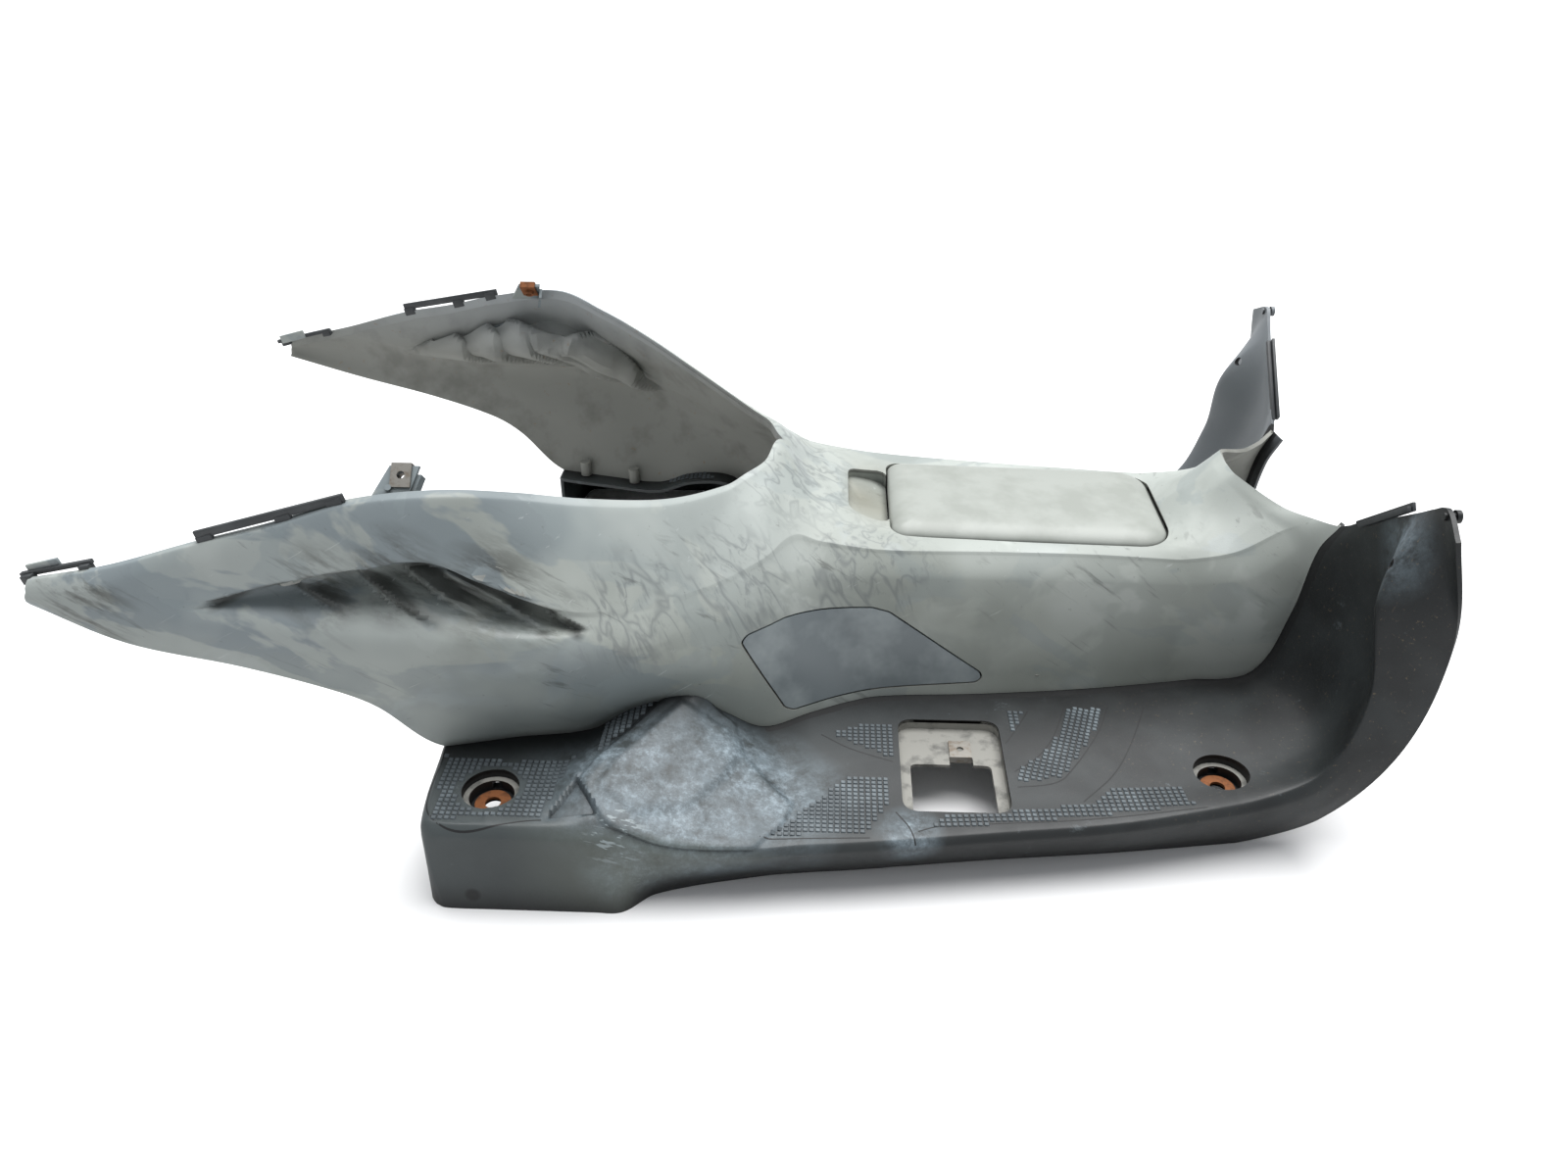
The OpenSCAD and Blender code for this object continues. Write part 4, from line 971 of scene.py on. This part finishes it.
def ear_bits():
    o = [cylinder("e", (DATUM + 379, 184, 247), 2.5, 10, BLACK, "x"),
         cylinder("e", (DATUM + 386, 184, 247), 4.2, 3, BLACK, "x")]
    o.append(plank("e", [377, 92, 185], [380, 150, 232], 2.4, 6, TONGUE))
    o.append(plank("e", [374, 92, 184], [377, 150, 231], 3, 4, TONGUE))
    return o


bits = ear_bits() + well()
for c in CUPS:
    bits += cup(*c)
bits = join("left_floorboard_fittings", bits)
bits.select_set(False)

# Tread: small pads on a grid inside each plan, which has a turn in radians, set on the floor below
PAD_STEP, PAD_STEP_ACROSS = 4.2, 0.95    # mm, and as a share of it
TREAD_AREAS = [
    ([(-259, 219), (-250, 284), (-178, 279.5), (-165, 219), (-210, 224)], 0.0),
    ([(-155, 177), (-108, 158), (-104, 165), (-154, 233)], 0.0),
    ([(4, 164), (53, 191), (56, 148), (30, 150)], 0.0),
    ([(-36, 271), (32, 267), (49, 236), (51, 207), (20, 207)], 0.0),
    ([(68, 262), (82, 246), (130, 239), (184, 229), (202, 211), (251, 209), (256, 232),
      (170, 247)], -0.06),
    ([(136, 132), (155, 131), (136, 169)], 0.0),
    ([(182, 125), (214, 124), (201, 157), (171, 205), (135, 214), (137, 196), (157, 182),
      (171, 159)], 0.3),
]


def drop(tree, q):
    """Point and normal of the floor under a place of the plan."""
    start = Vector(((q[0] + DATUM) / 1000, q[1] / 1000, 0.3))
    return tree.ray_cast(start, Vector((0, 0, -1)))[:2]


def tread():
    me = board.data
    tree = BVHTree.FromPolygons([v.co[:] for v in me.vertices], [p.vertices[:] for p in me.polygons])
    co, nrm = [], []
    for poly, turn in TREAD_AREAS:
        V = np.array(poly, float)
        lo, hi = V.min(0), V.max(0)
        c, s = math.cos(turn), math.sin(turn)
        mid = (lo + hi) / 2
        r = np.linalg.norm(hi - lo) / 2 + 4
        g = np.arange(-r, r, PAD_STEP)
        G = np.array([[a, b * PAD_STEP_ACROSS] for a in g for b in g])
        Q = mid + G @ np.array([[c, s], [-s, c]])
        keep = signed(Q, poly) > 1.8
        for q in Q[keep]:
            if min(math.hypot(q[0] - a, q[1] - b) for a, b, _ in CUPS) < 22:
                continue
            hit, n = drop(tree, q)
            if hit is not None and n.z > 0.75:
                co.append(hit)
                nrm.append(n)
    return co, nrm


def pad():
    """One pad, 3.6 mm wide at its foot, with sloping sides and a slanted top."""
    a, b, h = 1.8, 1.3, 0.9
    v = [(-a, -a, -0.3), (a, -a, -0.3), (a, a, -0.3), (-a, a, -0.3),
         (-b, -b * 0.9, h), (b, -b * 0.9, h * 0.7), (b, b, h * 0.7), (-b, b, h)]
    f = [(4, 5, 6, 7), (0, 1, 5, 4), (1, 2, 6, 5), (2, 3, 7, 6), (3, 0, 4, 7)]
    me = bpy.data.meshes.new("pad")
    me.from_pydata([tuple(c / 1000 for c in p) for p in v], [], f)
    return bpy.data.objects.new("pad", me)


def scatter(name, co, nrm, piece, mat):
    """The piece on every point, turned to the point's normal, through geometry nodes."""
    me = bpy.data.meshes.new(name)
    me.from_pydata(co, [], [])
    at_n = me.attributes.new("up", "FLOAT_VECTOR", "POINT")
    at_n.data.foreach_set("vector", [c for n in nrm for c in n])
    o = bpy.data.objects.new(name, me)
    bpy.context.scene.collection.objects.link(o)
    t = bpy.data.node_groups.new("set_on_surface", "GeometryNodeTree")
    for label, kind, way in (("Points", "Geometry", "INPUT"), ("Piece", "Object", "INPUT"),
                             ("Material", "Material", "INPUT"), ("Result", "Geometry", "OUTPUT")):
        t.interface.new_socket(label, in_out=way, socket_type="NodeSocket" + kind)
    new, L = t.nodes.new, t.links.new
    gi, go = new("NodeGroupInput"), new("NodeGroupOutput")
    info, inst = new("GeometryNodeObjectInfo"), new("GeometryNodeInstanceOnPoints")
    attr, turn = new("GeometryNodeInputNamedAttribute"), new("FunctionNodeAlignRotationToVector")
    real, coat = new("GeometryNodeRealizeInstances"), new("GeometryNodeSetMaterial")
    attr.data_type = "FLOAT_VECTOR"
    attr.inputs[0].default_value = "up"
    turn.axis = "Z"
    L(gi.outputs["Points"], inst.inputs["Points"])
    L(gi.outputs["Piece"], info.inputs["Object"])
    L(info.outputs["Geometry"], inst.inputs["Instance"])
    L(attr.outputs[0], turn.inputs["Vector"])
    L(turn.outputs[0], inst.inputs["Rotation"])
    L(inst.outputs[0], real.inputs[0])
    L(real.outputs[0], coat.inputs["Geometry"])
    L(gi.outputs["Material"], coat.inputs["Material"])
    L(coat.outputs[0], go.inputs[0])
    m = o.modifiers.new("set", "NODES")
    m.node_group = t
    ids = {i.name: i.identifier for i in t.interface.items_tree if i.in_out == "INPUT"}
    m[ids["Piece"]] = piece
    m[ids["Material"]] = mat
    dg = bpy.context.evaluated_depsgraph_get()
    mesh = bpy.data.meshes.new_from_object(o.evaluated_get(dg))
    o.modifiers.clear()
    o.data = mesh
    return o


one_pad = pad()
pads = scatter("left_tread", *tread(), one_pad, TREAD)
bpy.data.objects.remove(one_pad)

# Narrow grooves of the floor, as dark strips of painted shade laid on it: plans in x and side distance
GROOVES = [
    [(-259, 218), (-247, 284), (-178, 281.5)], [(-154, 178), (-104, 157)], [(-154, 196), (-122, 186)],
    [(-155, 215), (-137, 209)], [(1, 165), (22, 180), (52, 193)], [(-38, 273), (34, 269)],
    [(66, 262), (80, 257), (170, 247.5), (262, 233)],
    [(134, 170), (140, 160), (155, 132)], [(137, 216), (160, 212), (172, 204), (202, 157), (216, 124)],
    [(64, 271), (60, 258), (52, 244)], [(180, 229), (206, 200), (224, 168), (243, 124)],
    [(137, 200), (155, 184), (170, 160), (183, 126)],
]


def grooves():
    me = board.data
    tree = BVHTree.FromPolygons([v.co[:] for v in me.vertices], [p.vertices[:] for p in me.polygons])
    v, f = [], []
    for g in GROOVES:
        g = np.array(g, float)
        t = np.linspace(0, len(g) - 1, 24 * (len(g) - 1) + 1)
        pts = along(g, t, [1] * len(g))
        d = unit(np.gradient(pts, axis=0))
        side_ = np.stack([-d[:, 1], d[:, 0]], 1) * 0.45
        base = len(v)
        for p, s in zip(pts, side_):
            for q in (p - s, p + s):
                hit, n = drop(tree, q)
                missed = Vector(((q[0] + DATUM) / 1000, q[1] / 1000, 0.046))
                h = hit + n * 0.00008 if hit is not None else missed
                v.append(tuple(c * 1000 for c in h))
        f += [(base + 2 * k, base + 2 * k + 2, base + 2 * k + 3, base + 2 * k + 1)
              for k in range(len(pts) - 1)]
    return new_object("left_floor_grooves", v, f, (DARK,))


lines = grooves()
board.name = "left_floorboard_skin"
left_all = [board, bits, pads, lines]
right_all = [mirror(o, o.name.replace("left", "right")) for o in left_all]

# ---- back of the cover
def back_faces(o, mat_index=1):
    """Gives the inner side of the wall its own material."""
    me = o.data
    tree_out = grid_tree(outer, outer * [1, -1, 1])
    for p in me.polygons:
        hit = tree_out.find_nearest(p.center)
        p.material_index = 0 if hit[3] is not None and hit[3] < 0.0009 else mat_index


back_faces(cover)
cover.data.materials[0], cover.data.materials[1] = GREY, BACK

# ---- kept solids
STEEL = plain("zinc-plated steel", "#8d8a84", 0.5, "#6a5a49", 6, Metallic=0.7)
for name in NODES:
    given = NODES[name]
    kept = given["object"] if isinstance(given, dict) and "object" in given else bpy.data.objects.get(name)
    if kept is None or kept.type != "MESH":
        continue
    mat = RUST if "washer" in name or name == "left_wing_nut" else STEEL
    paint(kept, mat)

# ---- ties to the frame
cover_all = [cover, tray, ledge, left, right, left_tab, right_tab, bosses, lugs]
for o in cover_all:
    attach(o, "body")
    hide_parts("tunnel_cover")
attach(side, "body")
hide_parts("side_cover")
for objs, node in ((left_all, "left_floorboard"), (right_all, "right_floorboard")):
    for o in objs:
        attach(o, "body")
        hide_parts(node)
for o in (lid, knuckles):
    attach(o, "lid")
    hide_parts("filler_lid")

# ---- light, floor and camera
scene = bpy.context.scene
scene.view_settings.view_transform = "Standard"
world = bpy.data.worlds.new("studio")
scene.world = world
world.use_nodes = True
wt = world.node_tree
bg = wt.nodes["Background"]
bg.inputs[0].default_value = (0.93, 0.96, 1, 1)
bg.inputs[1].default_value = 0.46
white = wt.nodes.new("ShaderNodeBackground")
white.inputs[0].default_value = (1, 1, 1, 1)
path, mix = wt.nodes.new("ShaderNodeLightPath"), wt.nodes.new("ShaderNodeMixShader")
wt.links.new(path.outputs["Is Camera Ray"], mix.inputs[0])
wt.links.new(bg.outputs[0], mix.inputs[1])
wt.links.new(white.outputs[0], mix.inputs[2])
wt.links.new(mix.outputs[0], wt.nodes["World Output"].inputs[0])

sun = bpy.data.objects.new("sun", bpy.data.lights.new("sun", "SUN"))
sun.data.energy, sun.data.angle = 4.6, math.radians(60)
sun.rotation_euler = Vector((0.1, 0.3, 1)).to_track_quat("Z", "Y").to_euler()
scene.collection.objects.link(sun)

floor_mesh = bpy.data.meshes.new("stage_floor")
floor_mesh.from_pydata([(-6, -4, 0), (6, -4, 0), (6, 8, 0), (-6, 8, 0)], [], [(0, 1, 2, 3)])
ground = bpy.data.objects.new("stage_floor", floor_mesh)
scene.collection.objects.link(ground)
# The floor is white to the camera and throws less light back than it shows
pale = Mat("pale floor", "#cdcdcd", 0.9)
pale.tint("#f4f4f4", pale.add("LightPath").outputs["Is Camera Ray"])
ground.data.materials.append(pale.m)

cam = bpy.data.objects.new("camera", bpy.data.cameras.new("camera"))
cam.data.lens, cam.data.sensor_width = 27, 36
cam.data.clip_end = 50
R = Matrix(((0.999215, -0.021419, 0.033332), (0.039621, 0.540170, -0.840623), (0, 0.841283, 0.540595)))
cam.matrix_world = Matrix.Translation((0.063, -0.830, 0.600)) @ R.to_4x4()
scene.collection.objects.link(cam)
scene.camera = cam
